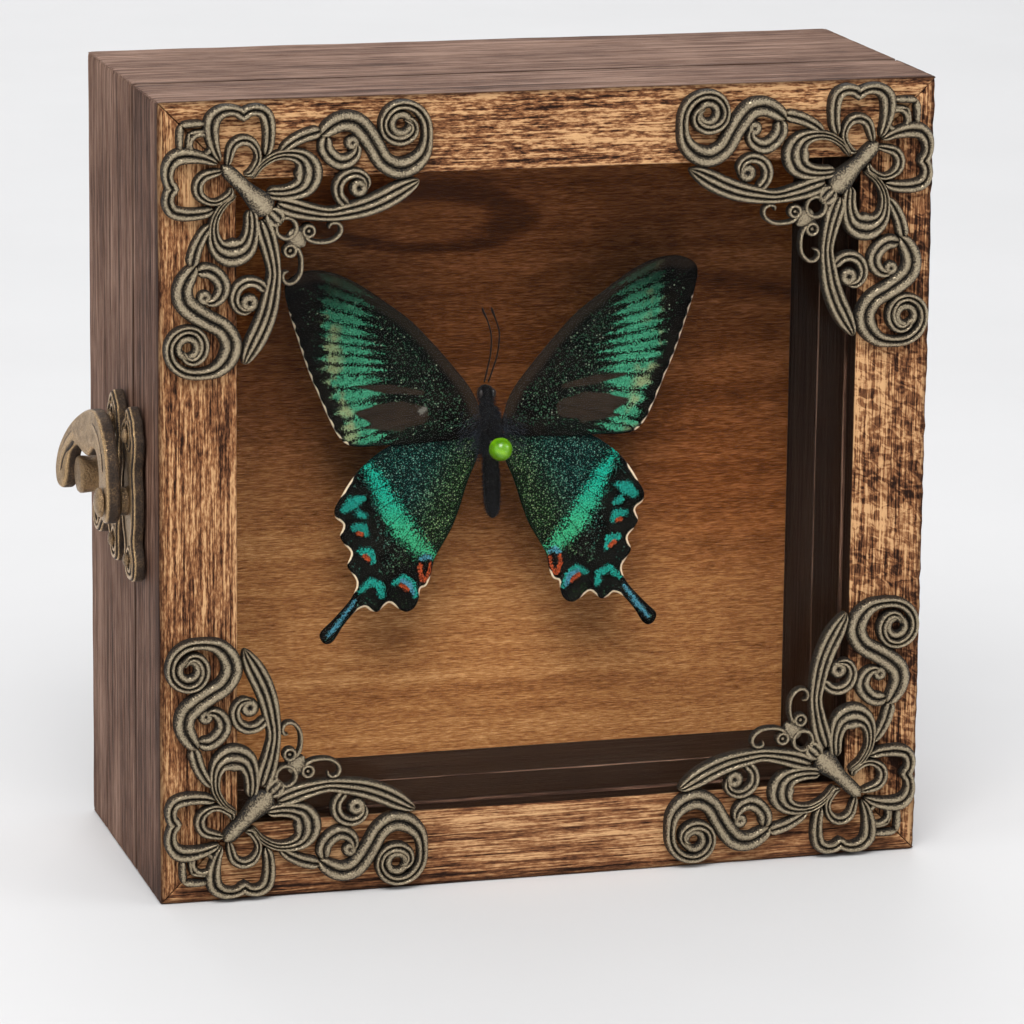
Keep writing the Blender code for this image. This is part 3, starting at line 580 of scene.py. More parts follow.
# Rear board. A thin stained sheet of plywood, with its grain level, let into the rabbet at the
# back of the case and glued there.
rear_finish, tree, output, place = new_finish("rear_ply_stain")
ply_fibres = grain(tree, place, (130, 900, 3000), detail=4, roughness=0.62)
ply_rings = grain(tree, place, (12, 100, 220), detail=3, distortion=1.2)
ply_value = maths(tree, "MULTIPLY_ADD", ply_fibres, 1.1, maths(tree, "MULTIPLY_ADD", ply_rings, 0.6, -0.27))
ply_tone = tones(
    tree,
    ply_value,
    [(0.35, (0.055, 0.026, 0.014)), (0.6, (0.15, 0.075, 0.040)), (0.8, (0.26, 0.145, 0.08))],
)
surface(tree, output, {
    "Base Color": ply_tone,
    "Roughness": maths(tree, "MULTIPLY_ADD", ply_fibres, 0.3, 0.5),
    "Normal": relief(tree, ply_fibres, 0.12 * MM),
})
dress("rear_board", rear_finish)

# Glass. A clear float pane in the door's groove. Lamps shine through it, so the insect and
# the panel are lit as they are with the door open.
glass_finish, tree, output, place = new_finish("clear_float_glass")
smears = grain(tree, place, (40, 40, 25), detail=5, roughness=0.7)
pane = shader(
    tree,
    "BsdfPrincipled",
    {
        "Base Color": (0.985, 0.995, 0.99, 1),
        "Roughness": between(tree, smears, 0.5, 0.75, 0.0, 0.02),
        "Transmission Weight": 1.0,
        "IOR": 1.1,
        "Specular IOR Level": 0.07,
    },
)
lamps_pass = shader(tree, "BsdfTransparent", {"Color": (0.99, 1.0, 0.995, 1)})
is_shadow = shader(tree, "LightPath").outputs["Is Shadow Ray"]
both = shader(tree, "MixShader", {0: is_shadow, 1: pane.outputs[0], 2: lamps_pass.outputs[0]})
tree.links.new(both.outputs[0], output.inputs["Surface"])
dress("glass_pane", glass_finish)

# Corner castings. Four filigree corners of antiqued zinc alloy, each a small moth with
# scrolled wings, symmetric about its diagonal. They are glued on; nothing is in their holes.
ornament_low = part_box("corner_ornament_bottom_left")[0]
CAST_TALL = DOOR_FRONT - ornament_low.y - 0.05 * MM
CAST_FOOT = -0.05 * MM
RIBBON_STEP = 0.5 * MM
CREST_WEAR = 2.4  # how fast the rubbed metal fades down the side of a ridge

# Half of the design, as bars: their name, how many ridges run along them, their height as a
# share of the whole, and (along the edge, away from the edge, half width) in millimetres
# from the box's corner. The other half swaps the first two numbers.
CAST_BARS = [
    ("corner bracket", 1, 0.80, [(4.3, 4.3, 0.75), (6.4, 4.1, 0.7), (8.9, 4.1, 0.6)]),
    ("corner step", 1, 0.62, [(5.9, 5.9, 0.5), (7.6, 5.6, 0.45), (9.3, 5.5, 0.4)]),
    (
        "heart petal",
        2,
        0.92,
        [
            (11.5, 11.0, 0.5), (10.5, 8.6, 0.95), (9.95, 5.8, 1.3), (10.2, 3.5, 1.4),
            (11.6, 2.15, 1.2), (13.4, 1.8, 1.0), (15.0, 2.15, 0.95), (15.85, 2.75, 1.15),
            (16.8, 2.1, 1.0), (18.5, 1.9, 1.05), (20.0, 2.7, 1.15), (20.6, 4.4, 1.15),
            (20.7, 6.5, 1.05), (20.5, 8.6, 0.95), (20.0, 10.2, 0.7),
        ],
    ),
    (
        "inner petal",
        2,
        0.84,
        [
            (12.9, 12.0, 0.5), (13.3, 10.2, 0.75), (13.8, 8.6, 0.9), (14.7, 7.7, 0.95),
            (15.9, 7.35, 0.95), (17.3, 7.75, 0.9), (18.35, 9.1, 0.7), (18.65, 10.6, 0.6),
            (18.2, 12.0, 0.65), (17.2, 13.4, 0.7), (16.1, 13.6, 0.6),
        ],
    ),
    (
        "oval wing",
        3,
        0.90,
        [
            (17.4, 14.4, 0.5), (19.1, 12.1, 0.65), (21.8, 10.5, 0.8), (24.7, 10.3, 1.05),
            (26.9, 11.1, 1.6), (28.0, 12.8, 2.25), (28.0, 14.6, 2.35), (27.2, 16.2, 2.0),
            (25.4, 17.1, 1.5), (23.0, 17.4, 1.25), (20.4, 17.2, 1.1),
        ],
    ),
    (
        "long arm",
        3,
        0.94,
        [
            (22.3, 19.2, 1.3), (24.9, 20.1, 1.65), (28.2, 21.0, 1.45), (32.0, 21.6, 1.2),
            (35.5, 21.2, 1.45), (38.9, 20.5, 1.65), (42.2, 19.3, 1.75), (45.2, 17.8, 1.65),
            (47.6, 16.5, 1.05), (48.9, 15.9, 0.5),
        ],
    ),
    (
        "curl on the arm",
        2,
        0.86,
        [
            (35.4, 20.2, 1.0), (33.9, 18.5, 0.95), (33.6, 16.7, 1.0), (34.3, 15.2, 1.0),
            (35.5, 14.4, 0.95), (37.0, 14.15, 0.9), (38.4, 14.75, 0.8), (39.1, 15.8, 0.7),
            (39.1, 17.2, 0.45),
        ],
    ),
    (
        "short outer arm",
        2,
        0.82,
        [
            (22.7, 9.8, 0.6), (24.3, 8.5, 0.95), (26.6, 7.25, 1.1), (28.7, 6.6, 1.15),
            (30.4, 6.2, 1.1),
        ],
    ),
    (
        "crescent leaf",
        2,
        0.84,
        [
            (31.4, 7.2, 1.2), (31.2, 9.2, 1.3), (32.2, 10.9, 1.35), (33.9, 12.0, 1.35),
            (35.6, 11.8, 1.25), (36.9, 10.7, 1.0), (37.2, 9.4, 0.65), (36.8, 8.5, 0.35),
        ],
    ),
    (
        "great scroll",
        2,
        0.96,
        [
            (30.4, 6.9, 1.0), (32.2, 5.5, 1.5), (34.5, 4.5, 1.7), (37.0, 4.9, 1.8),
            (38.9, 6.8, 1.8), (40.5, 9.3, 1.7), (42.2, 12.1, 1.7), (44.9, 13.6, 1.8),
            (47.6, 13.0, 1.7), (49.7, 11.0, 1.35), (50.4, 8.4, 1.0), (50.25, 5.4, 0.95),
            (49.0, 3.2, 0.95), (47.0, 2.0, 0.85), (44.7, 1.95, 0.85), (42.9, 3.1, 0.85),
            (42.0, 5.1, 0.75), (42.5, 7.1, 0.8), (44.1, 8.3, 0.9), (46.0, 8.4, 0.95),
            (47.6, 7.4, 0.9), (48.0, 6.0, 0.75), (47.3, 4.9, 0.7), (46.2, 4.6, 0.65),
        ],
    ),
    (
        "tiny hook",
        1,
        0.80,
        [
            (27.3, 25.4, 0.5), (28.4, 26.4, 0.45), (30.2, 26.8, 0.42), (32.4, 26.6, 0.42),
            (34.0, 25.4, 0.42), (34.2, 24.0, 0.42), (33.2, 23.2, 0.42), (32.1, 23.5, 0.4),
            (32.0, 24.3, 0.35),
        ],
    ),
]
# Bars on the diagonal, which are drawn once.
CAST_SPINE = [
    ("body", 1, 1.00, [(12.0, 12.0, 0.5), (13.1, 13.1, 1.3), (16.3, 16.3, 1.45), (19.0, 19.0, 2.2),
                       (20.1, 20.1, 2.0), (21.0, 21.0, 1.1)]),
    ("head", 3, 0.95, [(20.4, 20.4, 1.2), (21.2, 21.2, 1.95), (22.4, 22.4, 1.9), (23.0, 23.0, 1.2)]),
    ("nose plate", 1, 0.62, [(24.6, 24.6, 1.5), (25.6, 25.6, 2.3), (26.6, 26.6, 1.9), (27.4, 27.4, 0.8)]),
]
CAST_RINGS = [(8.0, 8.0, 1.95, 0.55, 0.70), (23.9, 23.9, 1.95, 0.5, 0.78)]  # on the diagonal
CAST_EYES = [  # on both sides
    (28.1, 24.6, 1.05, 0.42, 0.82),
    (28.1, 24.6, 0.12, 0.38, 0.66),
    (45.5, 5.4, 1.75, 0.78, 0.80),
    (37.6, 17.0, 1.0, 0.85, 0.70),
    (36.3, 8.6, 0.75, 0.75, 0.70),
]


def smooth_path(points, spacing, closed=False):
    """Evenly spaced points on a smooth curve through the given ones, whatever they hold."""
    points = np.array(points, float)
    count = len(points)
    if closed:
        whole = np.vstack([points[-1:], points, points[:2]])
        pieces = count
    else:
        whole = np.vstack([2 * points[:1] - points[1:2], points, 2 * points[-1:] - points[-2:-1]])
        pieces = count - 1
    fine = []
    for piece in range(pieces):
        before, start, end, after = whole[piece:piece + 4]
        for share in np.linspace(0, 1, 24, endpoint=False):
            fine.append(0.5 * (
                2 * start
                + (end - before) * share
                + (2 * before - 5 * start + 4 * end - after) * share**2
                + (3 * start - before - 3 * end + after) * share**3
            ))
    if not closed:
        fine.append(points[-1])
    fine = np.array(fine)
    ends = np.vstack([fine, fine[:1]]) if closed else fine
    travel = np.concatenate([[0], np.cumsum(np.linalg.norm(np.diff(ends[:, :2], axis=0), axis=1))])
    steps = max(4, round(travel[-1] / spacing))
    wanted = np.linspace(0, travel[-1], steps, endpoint=not closed)
    return np.stack([np.interp(wanted, travel, ends[:, row]) for row in range(ends.shape[1])], axis=1)


def new_casting():
    """An empty mesh whose points carry how worn the metal is."""
    work = bmesh.new()
    return work, work.verts.layers.float.new("worn")


def cast_bar(work, worn, bar, ridges, top, foot, valley=0.42, closed=False, spacing=RIBBON_STEP):
    """A bar with ridges along it. bar is (x, y, half width) points and heights are along Z."""
    path = smooth_path(bar, spacing, closed)
    count = len(path)
    if closed:
        tangent = np.roll(path[:, :2], -1, axis=0) - np.roll(path[:, :2], 1, axis=0)
    else:
        tangent = np.gradient(path[:, :2], axis=0)
    tangent /= np.maximum(np.linalg.norm(tangent, axis=1), 1e-12)[:, None]
    columns = np.linspace(-1, 1, 6 * ridges + 1)
    hump = np.abs(np.sin(ridges * math.pi * (columns + 1) / 2)) ** 0.62
    rings = []
    for place, (spot, direction) in enumerate(zip(path, tangent)):
        x, y, half = spot
        height = top
        if not closed:
            to_end = min(place, count - 1 - place)
            if to_end < 2:
                half *= (0.45, 0.85)[to_end]
                height = foot + (top - foot) * (0.72, 0.92)[to_end]
        ring = []
        low = height - (height - foot) * valley
        section = [
            (column, low + (height - low) * bulge, bulge**CREST_WEAR)
            for column, bulge in zip(columns, hump)
        ]
        for column, z, wear in section + [(1, foot, 0.0), (-1, foot, 0.0)]:
            across = column * half
            vertex = work.verts.new((x - direction[1] * across, y + direction[0] * across, z))
            vertex[worn] = wear
            ring.append(vertex)
        rings.append(ring)
    skin(work, rings, closed)


def cast_ring(work, worn, x, y, radius, half, top, foot):
    """A round ring of one ridge about (x, y), which reaches half to each side of its radius."""
    turns = [2 * math.pi * turn / 12 for turn in range(12)]
    points = [(x + radius * math.cos(turn), y + radius * math.sin(turn), half) for turn in turns]
    cast_bar(work, worn, points, 1, top, foot, closed=True, spacing=min(RIBBON_STEP, radius * 0.5))


def laid(mesh, across, along, up, origin):
    """Turns a mesh so that its x, y and z lie on the three given directions from origin."""
    turn = Matrix((across, along, up)).transposed().to_4x4()
    mesh.transform(Matrix.Translation(origin) @ turn)
    if turn.determinant() < 0:
        mesh.flip_normals()
    return mesh


def aged_metal(name, recess, body, rubbed, rubbed_from=0.95, gloss=0.34, pitting=0.56):
    """Antiqued casting alloy: dark wash in the hollows, metal showing where it is rubbed.
    gloss is its roughness where it is most worn, and pitting how much the cast grain shows."""
    material, tree, output, place = new_finish(name)
    pits = between(tree, grain(tree, place, (3300, 3300, 3300), detail=2, roughness=0.65), 0.38, 0.62)
    patches = grain(tree, place, (420, 420, 420), detail=3)
    worn = painted(tree, "worn")
    level = maths(tree, "MULTIPLY_ADD", patches, 0.55, maths(tree, "SUBTRACT", worn, 0.275))
    level = maths(tree, "MULTIPLY_ADD", pits, pitting, maths(tree, "SUBTRACT", level, 0.5 * pitting))
    colour = tones(tree, level, [(0.06, recess), (0.34, body), (rubbed_from, rubbed)])
    surface(tree, output, {
        "Base Color": colour,
        "Metallic": between(tree, level, 0.0, 0.5, 0.35, 0.95),
        "Roughness": between(tree, level, 0.0, 1.0, 0.62, gloss),
        "Normal": relief(tree, maths(tree, "MULTIPLY_ADD", patches, 0.8, pits), 0.09 * MM),
    })
    return material


corner_bronze = aged_metal(
    "corner_casting_bronze",
    recess=(0.010, 0.0080, 0.0062),
    body=(0.100, 0.078, 0.054),
    rubbed=(0.47, 0.385, 0.26),
)


def corner_casting(name):
    """The whole design, drawn from the box's corner at the origin, with its foot on z = 0."""
    work, worn = new_casting()
    for _, ridges, height, bar in CAST_BARS:
        bar = np.array(bar) * MM
        bar[:, 2] *= 1.0 if ridges == 1 else 1.13
        cast_bar(work, worn, bar, ridges, height * CAST_TALL, CAST_FOOT)
        cast_bar(work, worn, bar[:, [1, 0, 2]], ridges, height * CAST_TALL, CAST_FOOT)
    for _, ridges, height, bar in CAST_SPINE:
        cast_bar(work, worn, np.array(bar) * MM, ridges, height * CAST_TALL, CAST_FOOT, valley=0.25)
    for x, y, radius, half, height in CAST_RINGS:
        cast_ring(work, worn, x * MM, y * MM, radius * MM, half * MM, height * CAST_TALL, CAST_FOOT)
    for x, y, radius, half, height in CAST_EYES:
        for u, v in ((x, y), (y, x)):
            cast_ring(work, worn, u * MM, v * MM, radius * MM, half * MM, height * CAST_TALL, CAST_FOOT)
    return finished_mesh(work, name)


for side_name, side in (("left", -1), ("right", 1)):
    for level_name, top in (("bottom", 0), ("top", 1)):
        name = f"corner_ornament_{level_name}_{side_name}"
        mesh = corner_casting(name + "_casting")
        rise = 1 - 2 * top
        box_corner = (side * BOX_HALF, DOOR_FRONT, top * BOX_TALL)
        laid(mesh, (-side, 0, 0), (0, 0, rise), (0, -1, 0), box_corner)
        add_piece(name + "_casting", mesh, corner_bronze, "door", "ornament_bronze", name)

# Latch. Two thick cast plates nailed to the left side, one on the door and one on the case,
# with a post cast on the case's plate. The hook turns on a rivet and drops behind the post.
latch_bronze = aged_metal(
    "latch_bronze",
    recess=(0.012, 0.0084, 0.0062),
    body=(0.088, 0.060, 0.042),
    rubbed=(0.56, 0.37, 0.19),
    rubbed_from=0.85,
    gloss=0.24,
    pitting=0.16,
)
LATCH_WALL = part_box("latch_door_plate")[1].x
PLATE_OUT = LATCH_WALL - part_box("latch_door_plate")[0].x
rivet_low, rivet_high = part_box("latch_rivet")
PIVOT = ((rivet_low.y + rivet_high.y) / 2 / MM, (rivet_low.z + rivet_high.z) / 2 / MM)
arm_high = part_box("latch_arm")[1]
ARM_FOOT = LATCH_WALL - arm_high.x
ARM_THICK = 2.8 * MM
PLATE_EASE = 0.5 * MM

# Outlines are (back, up) in millimetres, seen from the left.
DOOR_PLATE = [
    (-21.3, 60.8), (-19.2, 59.5), (-16.5, 59.3), (-14.2, 60.6), (-13.2, 63.2), (-13.6, 66.0),
    (-12.2, 68.5), (-11.2, 72.0), (-11.2, 78.0), (-12.4, 81.5), (-11.4, 84.5), (-11.6, 87.6),
    (-13.4, 89.8), (-14.7, 90.2), (-15.6, 92.0), (-17.4, 92.5), (-19.0, 91.4), (-20.6, 90.4),
    (-21.2, 88.2), (-22.2, 86.6), (-21.6, 83.5), (-20.6, 80.5), (-21.4, 76.0), (-21.2, 71.0),
    (-20.2, 67.0), (-21.8, 64.0),
]
CATCH_PLATE = [
    (-6.4, 61.8), (-4.8, 60.2), (-2.2, 60.0), (-0.4, 61.4), (0.6, 64.2), (3.6, 66.2),
    (7.8, 64.6), (10.8, 62.2), (13.8, 61.8), (16.0, 63.6), (16.2, 66.6), (14.2, 69.6),
    (14.6, 74.5), (13.6, 79.4), (10.2, 82.6), (5.4, 84.0), (2.0, 85.6), (1.8, 88.6),
    (0.2, 90.8), (-1.0, 92.2), (-3.0, 92.9), (-4.8, 91.8), (-6.4, 90.6), (-7.2, 88.0),
    (-8.0, 85.6), (-7.2, 82.0), (-6.6, 76.0), (-6.8, 70.0), (-6.2, 65.6),
]
HOOK_ARM = [
    (-18.3, 77.5), (-17.3, 81.8), (-14.4, 86.0), (-10.0, 88.8), (-4.0, 89.4), (2.6, 87.8),
    (9.4, 84.3), (14.6, 79.6), (17.0, 74.8), (16.6, 71.2), (14.4, 70.3), (12.4, 72.2),
    (11.6, 75.4), (10.0, 78.4), (6.8, 80.2), (3.4, 79.6), (0.4, 79.6), (-3.6, 81.8),
    (-8.0, 81.8), (-10.4, 78.6), (-10.5, 74.6), (-11.6, 71.2), (-14.5, 69.9), (-17.4, 71.2),
    (-18.6, 74.0),
]
HOOK_FLARE_START = -2.0
HOOK_FLARE_END = 17.6
HOOK_FLARE = 3.1 * MM


def flat_casting(outline, thickness, ease, spacing=0.45 * MM):
    """A smooth-edged plate on z = 0, from an outline in metres, as a bmesh with its wear."""
    path = smooth_path(outline, spacing, closed=True)
    curve = bpy.data.curves.new("casting_outline", "CURVE")
    curve.dimensions = "2D"
    curve.fill_mode = "BOTH"
    curve.extrude = thickness / 2 - ease
    curve.bevel_depth = ease
    curve.bevel_resolution = 3
    curve.offset = -ease
    spline = curve.splines.new("POLY")
    spline.points.add(len(path) - 1)
    for point, (x, y) in zip(spline.points, path):
        point.co = (x, y, 0, 1)
    spline.use_cyclic_u = True
    source = bpy.data.objects.new("casting_outline", curve)
    bpy.context.scene.collection.objects.link(source)
    graph = bpy.context.evaluated_depsgraph_get()
    flat = bpy.data.meshes.new_from_object(source.evaluated_get(graph))
    bpy.data.objects.remove(source, do_unlink=True)
    work = bmesh.new()
    work.from_mesh(flat)
    bpy.data.meshes.remove(flat)
    bmesh.ops.remove_doubles(work, verts=work.verts, dist=1e-6)
    bmesh.ops.translate(work, verts=work.verts, vec=(0, 0, thickness / 2))
    worn = work.verts.layers.float.new("worn")
    for vertex in work.verts:
        near_top = vertex.co.z / thickness
        vertex[worn] = 0.30 + 0.65 * max(0.0, 1 - abs(near_top - 0.93) / 0.16)
    return work, worn


def inset(outline, amount):
    """The outline moved inwards by amount, as bar points that all have the same half width."""
    path = smooth_path(np.array(outline), 0.9, closed=True)
    step = np.roll(path, -1, axis=0) - np.roll(path, 1, axis=0)
    step /= np.linalg.norm(step, axis=1)[:, None]
    area = np.sum(path[:, 0] * np.roll(path[:, 1], -1) - path[:, 1] * np.roll(path[:, 0], -1))
    inward = np.stack([-step[:, 1], step[:, 0]], axis=1) * np.sign(area)
    return path + inward * amount


def turned(work, worn, profile, sides, centre, wear=0.45):
    """Turns (radius, height) points about an upright line through centre. Both ends are on it."""
    x, y = centre
    rings = []
    for place, (radius, height) in enumerate(profile):
        if radius < 1e-7:
            vertex = work.verts.new((x, y, height))
            vertex[worn] = wear
            rings.append([vertex])
            continue
        ring = []
        for side in range(sides):
            turn = 2 * math.pi * side / sides
            vertex = work.verts.new((x + radius * math.cos(turn), y + radius * math.sin(turn), height))
            vertex[worn] = wear
            ring.append(vertex)
        rings.append(ring)
    for ring, following in zip(rings, rings[1:]):
        for side in range(sides):
            after = (side + 1) % sides
            corners = [ring[side % len(ring)], ring[after % len(ring)]]
            corners += [following[after % len(following)], following[side % len(following)]]
            work.faces.new(list(dict.fromkeys(corners)))


def dome(radius, height, foot, steps=6):
    """A profile for a domed head, from its crown down to its foot on the axis."""
    crown = [
        (radius * math.sin(math.pi / 2 * step / steps), foot + height * math.cos(math.pi / 2 * step / steps))
        for step in range(steps + 1)
    ]
    crown[0] = (0.0, crown[0][1])
    return crown + [(radius * 0.96, foot - 0.08 * MM), (0.0, foot - 0.08 * MM)]


def on_left_side(work, name):
    """Turns a mesh drawn as (back, up, out) on to the outside of the left wall."""
    return laid(finished_mesh(work, name), (0, 1, 0), (0, 0, 1), (-1, 0, 0), (LATCH_WALL, 0, 0))


def plate_relief(work, worn, outline, eyes, ribs):
    """The raised border, the ringed nail seats and the ribbed crest of a latch plate."""
    border = inset(outline, 0.85)
    bar = np.column_stack([border, np.full(len(border), 0.62)]) * MM
    cast_bar(work, worn, bar, 1, PLATE_OUT, PLATE_OUT - 0.9 * MM, closed=True)
    for back, up, wide, tall in eyes:
        turns = [2 * math.pi * turn / 14 for turn in range(14)]
        ring = [(back + wide * math.cos(t), up + tall * math.sin(t), 0.55) for t in turns]
        cast_bar(work, worn, np.array(ring) * MM, 1, PLATE_OUT, PLATE_OUT - 0.9 * MM, closed=True)
    for start, end in ribs:
        bar = [(*start, 0.5), ((start[0] + end[0]) / 2, (start[1] + end[1]) / 2, 0.62), (*end, 0.4)]
        cast_bar(work, worn, np.array(bar) * MM, 1, PLATE_OUT, PLATE_OUT - 1.2 * MM)


PLATE_BODY = PLATE_OUT - 0.35 * MM
work, worn = flat_casting(np.array(DOOR_PLATE) * MM, PLATE_BODY, PLATE_EASE)
door_ribs = [((-17.2, 89.2), (-17.4, 91.9)), ((-15.4, 88.9), (-14.6, 90.4)), ((-19.0, 88.9), (-19.9, 90.6)),
             ((-14.0, 87.4), (-12.4, 88.2)), ((-20.2, 87.2), (-21.5, 87.2))]
plate_relief(work, worn, DOOR_PLATE, [(-17.0, 87.0, 2.0, 2.6), (-17.6, 63.4, 1.9, 2.2)], door_ribs)
collar = dome(2.7 * MM, 0.3 * MM, ARM_FOOT - 0.4 * MM)
turned(work, worn, collar[:-2] + [(2.7 * MM, PLATE_BODY - 0.2 * MM), (0.0, PLATE_BODY - 0.2 * MM)], 28,
       (PIVOT[0] * MM, PIVOT[1] * MM))
mesh = on_left_side(work, "latch_door_plate_casting")
add_piece("latch_door_plate_casting", mesh, latch_bronze, "door", "latch_bronze", "latch_door_plate")

POST_RADIUS = 3.6 * MM
POST_END = 7.2 * MM
work, worn = flat_casting(np.array(CATCH_PLATE) * MM, PLATE_BODY, PLATE_EASE)
catch_ribs = [((-3.0, 89.6), (-3.0, 92.2)), ((-1.4, 89.2), (-0.6, 91.0)), ((-4.8, 89.2), (-5.6, 90.8)),
              ((-0.2, 87.6), (1.1, 88.8)), ((-6.0, 87.2), (-7.0, 87.6))]
catch_eyes = [(-3.2, 87.4, 2.0, 2.6), (-3.6, 64.2, 1.8, 2.2), (12.6, 65.6, 1.8, 2.0)]
plate_relief(work, worn, CATCH_PLATE, catch_eyes, catch_ribs)
post_profile = [
    (0.0, POST_END), (POST_RADIUS - 1.0 * MM, POST_END), (POST_RADIUS - 0.35 * MM, POST_END - 0.15 * MM),
    (POST_RADIUS - 0.05 * MM, POST_END - 0.5 * MM), (POST_RADIUS, POST_END - 0.9 * MM),
    (POST_RADIUS - 0.15 * MM, 4.4 * MM), (POST_RADIUS - 0.05 * MM, 3.2 * MM),
    (POST_RADIUS + 0.5 * MM, 2.3 * MM), (POST_RADIUS + 0.6 * MM, 1.4 * MM), (0.0, 1.4 * MM),
]
turned(work, worn, post_profile, 40, (7 * MM, 74.5 * MM), 0.55)
mesh = on_left_side(work, "latch_catch_plate_casting")
add_piece("latch_catch_plate_casting", mesh, latch_bronze, "case", "latch_bronze", "latch_catch_plate")

work, worn = flat_casting(np.array(HOOK_ARM) * MM, ARM_THICK, 0.75 * MM, 0.5 * MM)
rib_line = [(-14.4, 79.4, 0.9), (-13.4, 82.6, 1.1), (-10.2, 85.4, 1.3), (-4.5, 86.3, 1.5), (2.5, 84.6, 1.6),
            (8.6, 81.6, 1.5), (13.0, 77.6, 1.1), (14.6, 73.6, 0.6)]
cast_bar(work, worn, np.array(rib_line) * MM, 1, ARM_THICK + 0.22 * MM, ARM_THICK - 0.5 * MM)
for vertex in work.verts:
    reach = (vertex.co.x / MM - HOOK_FLARE_START) / (HOOK_FLARE_END - HOOK_FLARE_START)
    vertex.co.z += ARM_FOOT + HOOK_FLARE * max(0.0, reach) ** 1.5
mesh = on_left_side(work, "latch_hook")
add_piece("latch_hook", mesh, latch_bronze, "latch_arm", "latch_bronze", "latch_arm")

RIVET_SEAT = ARM_FOOT + ARM_THICK + 0.28 * MM
rivet_out = LATCH_WALL - rivet_low.x
work, worn = new_casting()
rivet_profile = dome(2.8 * MM, rivet_out - RIVET_SEAT - 0.35 * MM, RIVET_SEAT + 0.35 * MM)[:-2]
rivet_profile += [(2.75 * MM, RIVET_SEAT), (1.4 * MM, RIVET_SEAT), (1.4 * MM, 0.4 * MM), (0.0, 0.4 * MM)]
turned(work, worn, rivet_profile, 32, (PIVOT[0] * MM, PIVOT[1] * MM), 0.62)
mesh = on_left_side(work, "latch_rivet_turned")
add_piece("latch_rivet_turned", mesh, latch_bronze, "door", "latch_bronze", "latch_rivet")

# Nails. Short turned nails with domed heads, coloured like the latch. Two go through each
# latch plate and each hinge leaf into the wood.
NAIL_HEAD = 1.4 * MM
NAIL_SHANK = 0.6 * MM
NAIL_POINT = 0.7 * MM


def nail(node, outward, body):
    """A nail with a domed head, in the place of its CAD node; outward is -1 on the left side."""
    low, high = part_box(node)
    tip = abs(low.x if outward > 0 else high.x)
    crown = abs(high.x if outward > 0 else low.x)
    work, worn = new_casting()
    head = crown - 0.8 * MM
    profile = dome(NAIL_HEAD, 0.78 * MM, head)[:-1]
    profile += [(NAIL_SHANK, head - 0.08 * MM), (NAIL_SHANK, tip + NAIL_POINT), (0.0, tip)]
    turned(work, worn, profile, 20, (0, 0), 0.55)
    middle = (low + high) / 2
    mesh = finished_mesh(work, node + "_turned")
    laid(mesh, (0, 1, 0), (0, 0, outward), (outward, 0, 0), (0, middle.y, middle.z))
    add_piece(node + "_turned", mesh, latch_bronze, body, "latch_bronze", node)


for owner, body in (("door", "door"), ("catch", "case")):
    for level in ("lower", "upper"):
        nail(f"latch_{owner}_nail_{level}", -1, body)
for hinge in ("lower", "upper"):
    for body in ("door", "case"):
        for row in ("low", "high"):
            nail(f"{hinge}_hinge_{body}_nail_{row}", 1, body)

# Hinges. Two small butt hinges of folded brass on the right side. Each leaf is rolled into
# knuckles at the seam, and a headed pin goes down through them.
pin_low, pin_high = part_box("lower_hinge_pin")
HINGE_AXIS = ((pin_low.x + pin_high.x) / 2, (pin_low.y + pin_high.y) / 2)
KNUCKLE = 1.7 * MM
LEAF_THICK = 1.0 * MM
LEAF_REACH = 9 * MM
LEAF_TALL = 20 * MM
KNUCKLE_GAP = 0.3 * MM


def straight_plate(corners, thickness, ease):
    """A plate with straight sides and eased edges, drawn on z = 0."""
    work = bmesh.new()
    face = work.faces.new([work.verts.new((x, y, 0)) for x, y in corners])
    if face.normal.z > 0:
        face.normal_flip()
    grown = bmesh.ops.extrude_face_region(work, geom=[face])
    top = [item for item in grown["geom"] if isinstance(item, bmesh.types.BMVert)]
    bmesh.ops.translate(work, verts=top, vec=(0, 0, thickness))
    bmesh.ops.recalc_face_normals(work, faces=work.faces)
    rim = [edge for edge in work.edges if abs(edge.verts[0].co.z - edge.verts[1].co.z) < 1e-9]
    bmesh.ops.bevel(work, geom=rim, offset=ease, segments=3, profile=0.5, affect="EDGES")
    worn = work.verts.layers.float.new("worn")
    for vertex in work.verts:
        on_ease = thickness - ease * 1.01 < vertex.co.z < thickness - 1e-6
        vertex[worn] = 0.35 + 0.6 * on_ease
    return work, worn


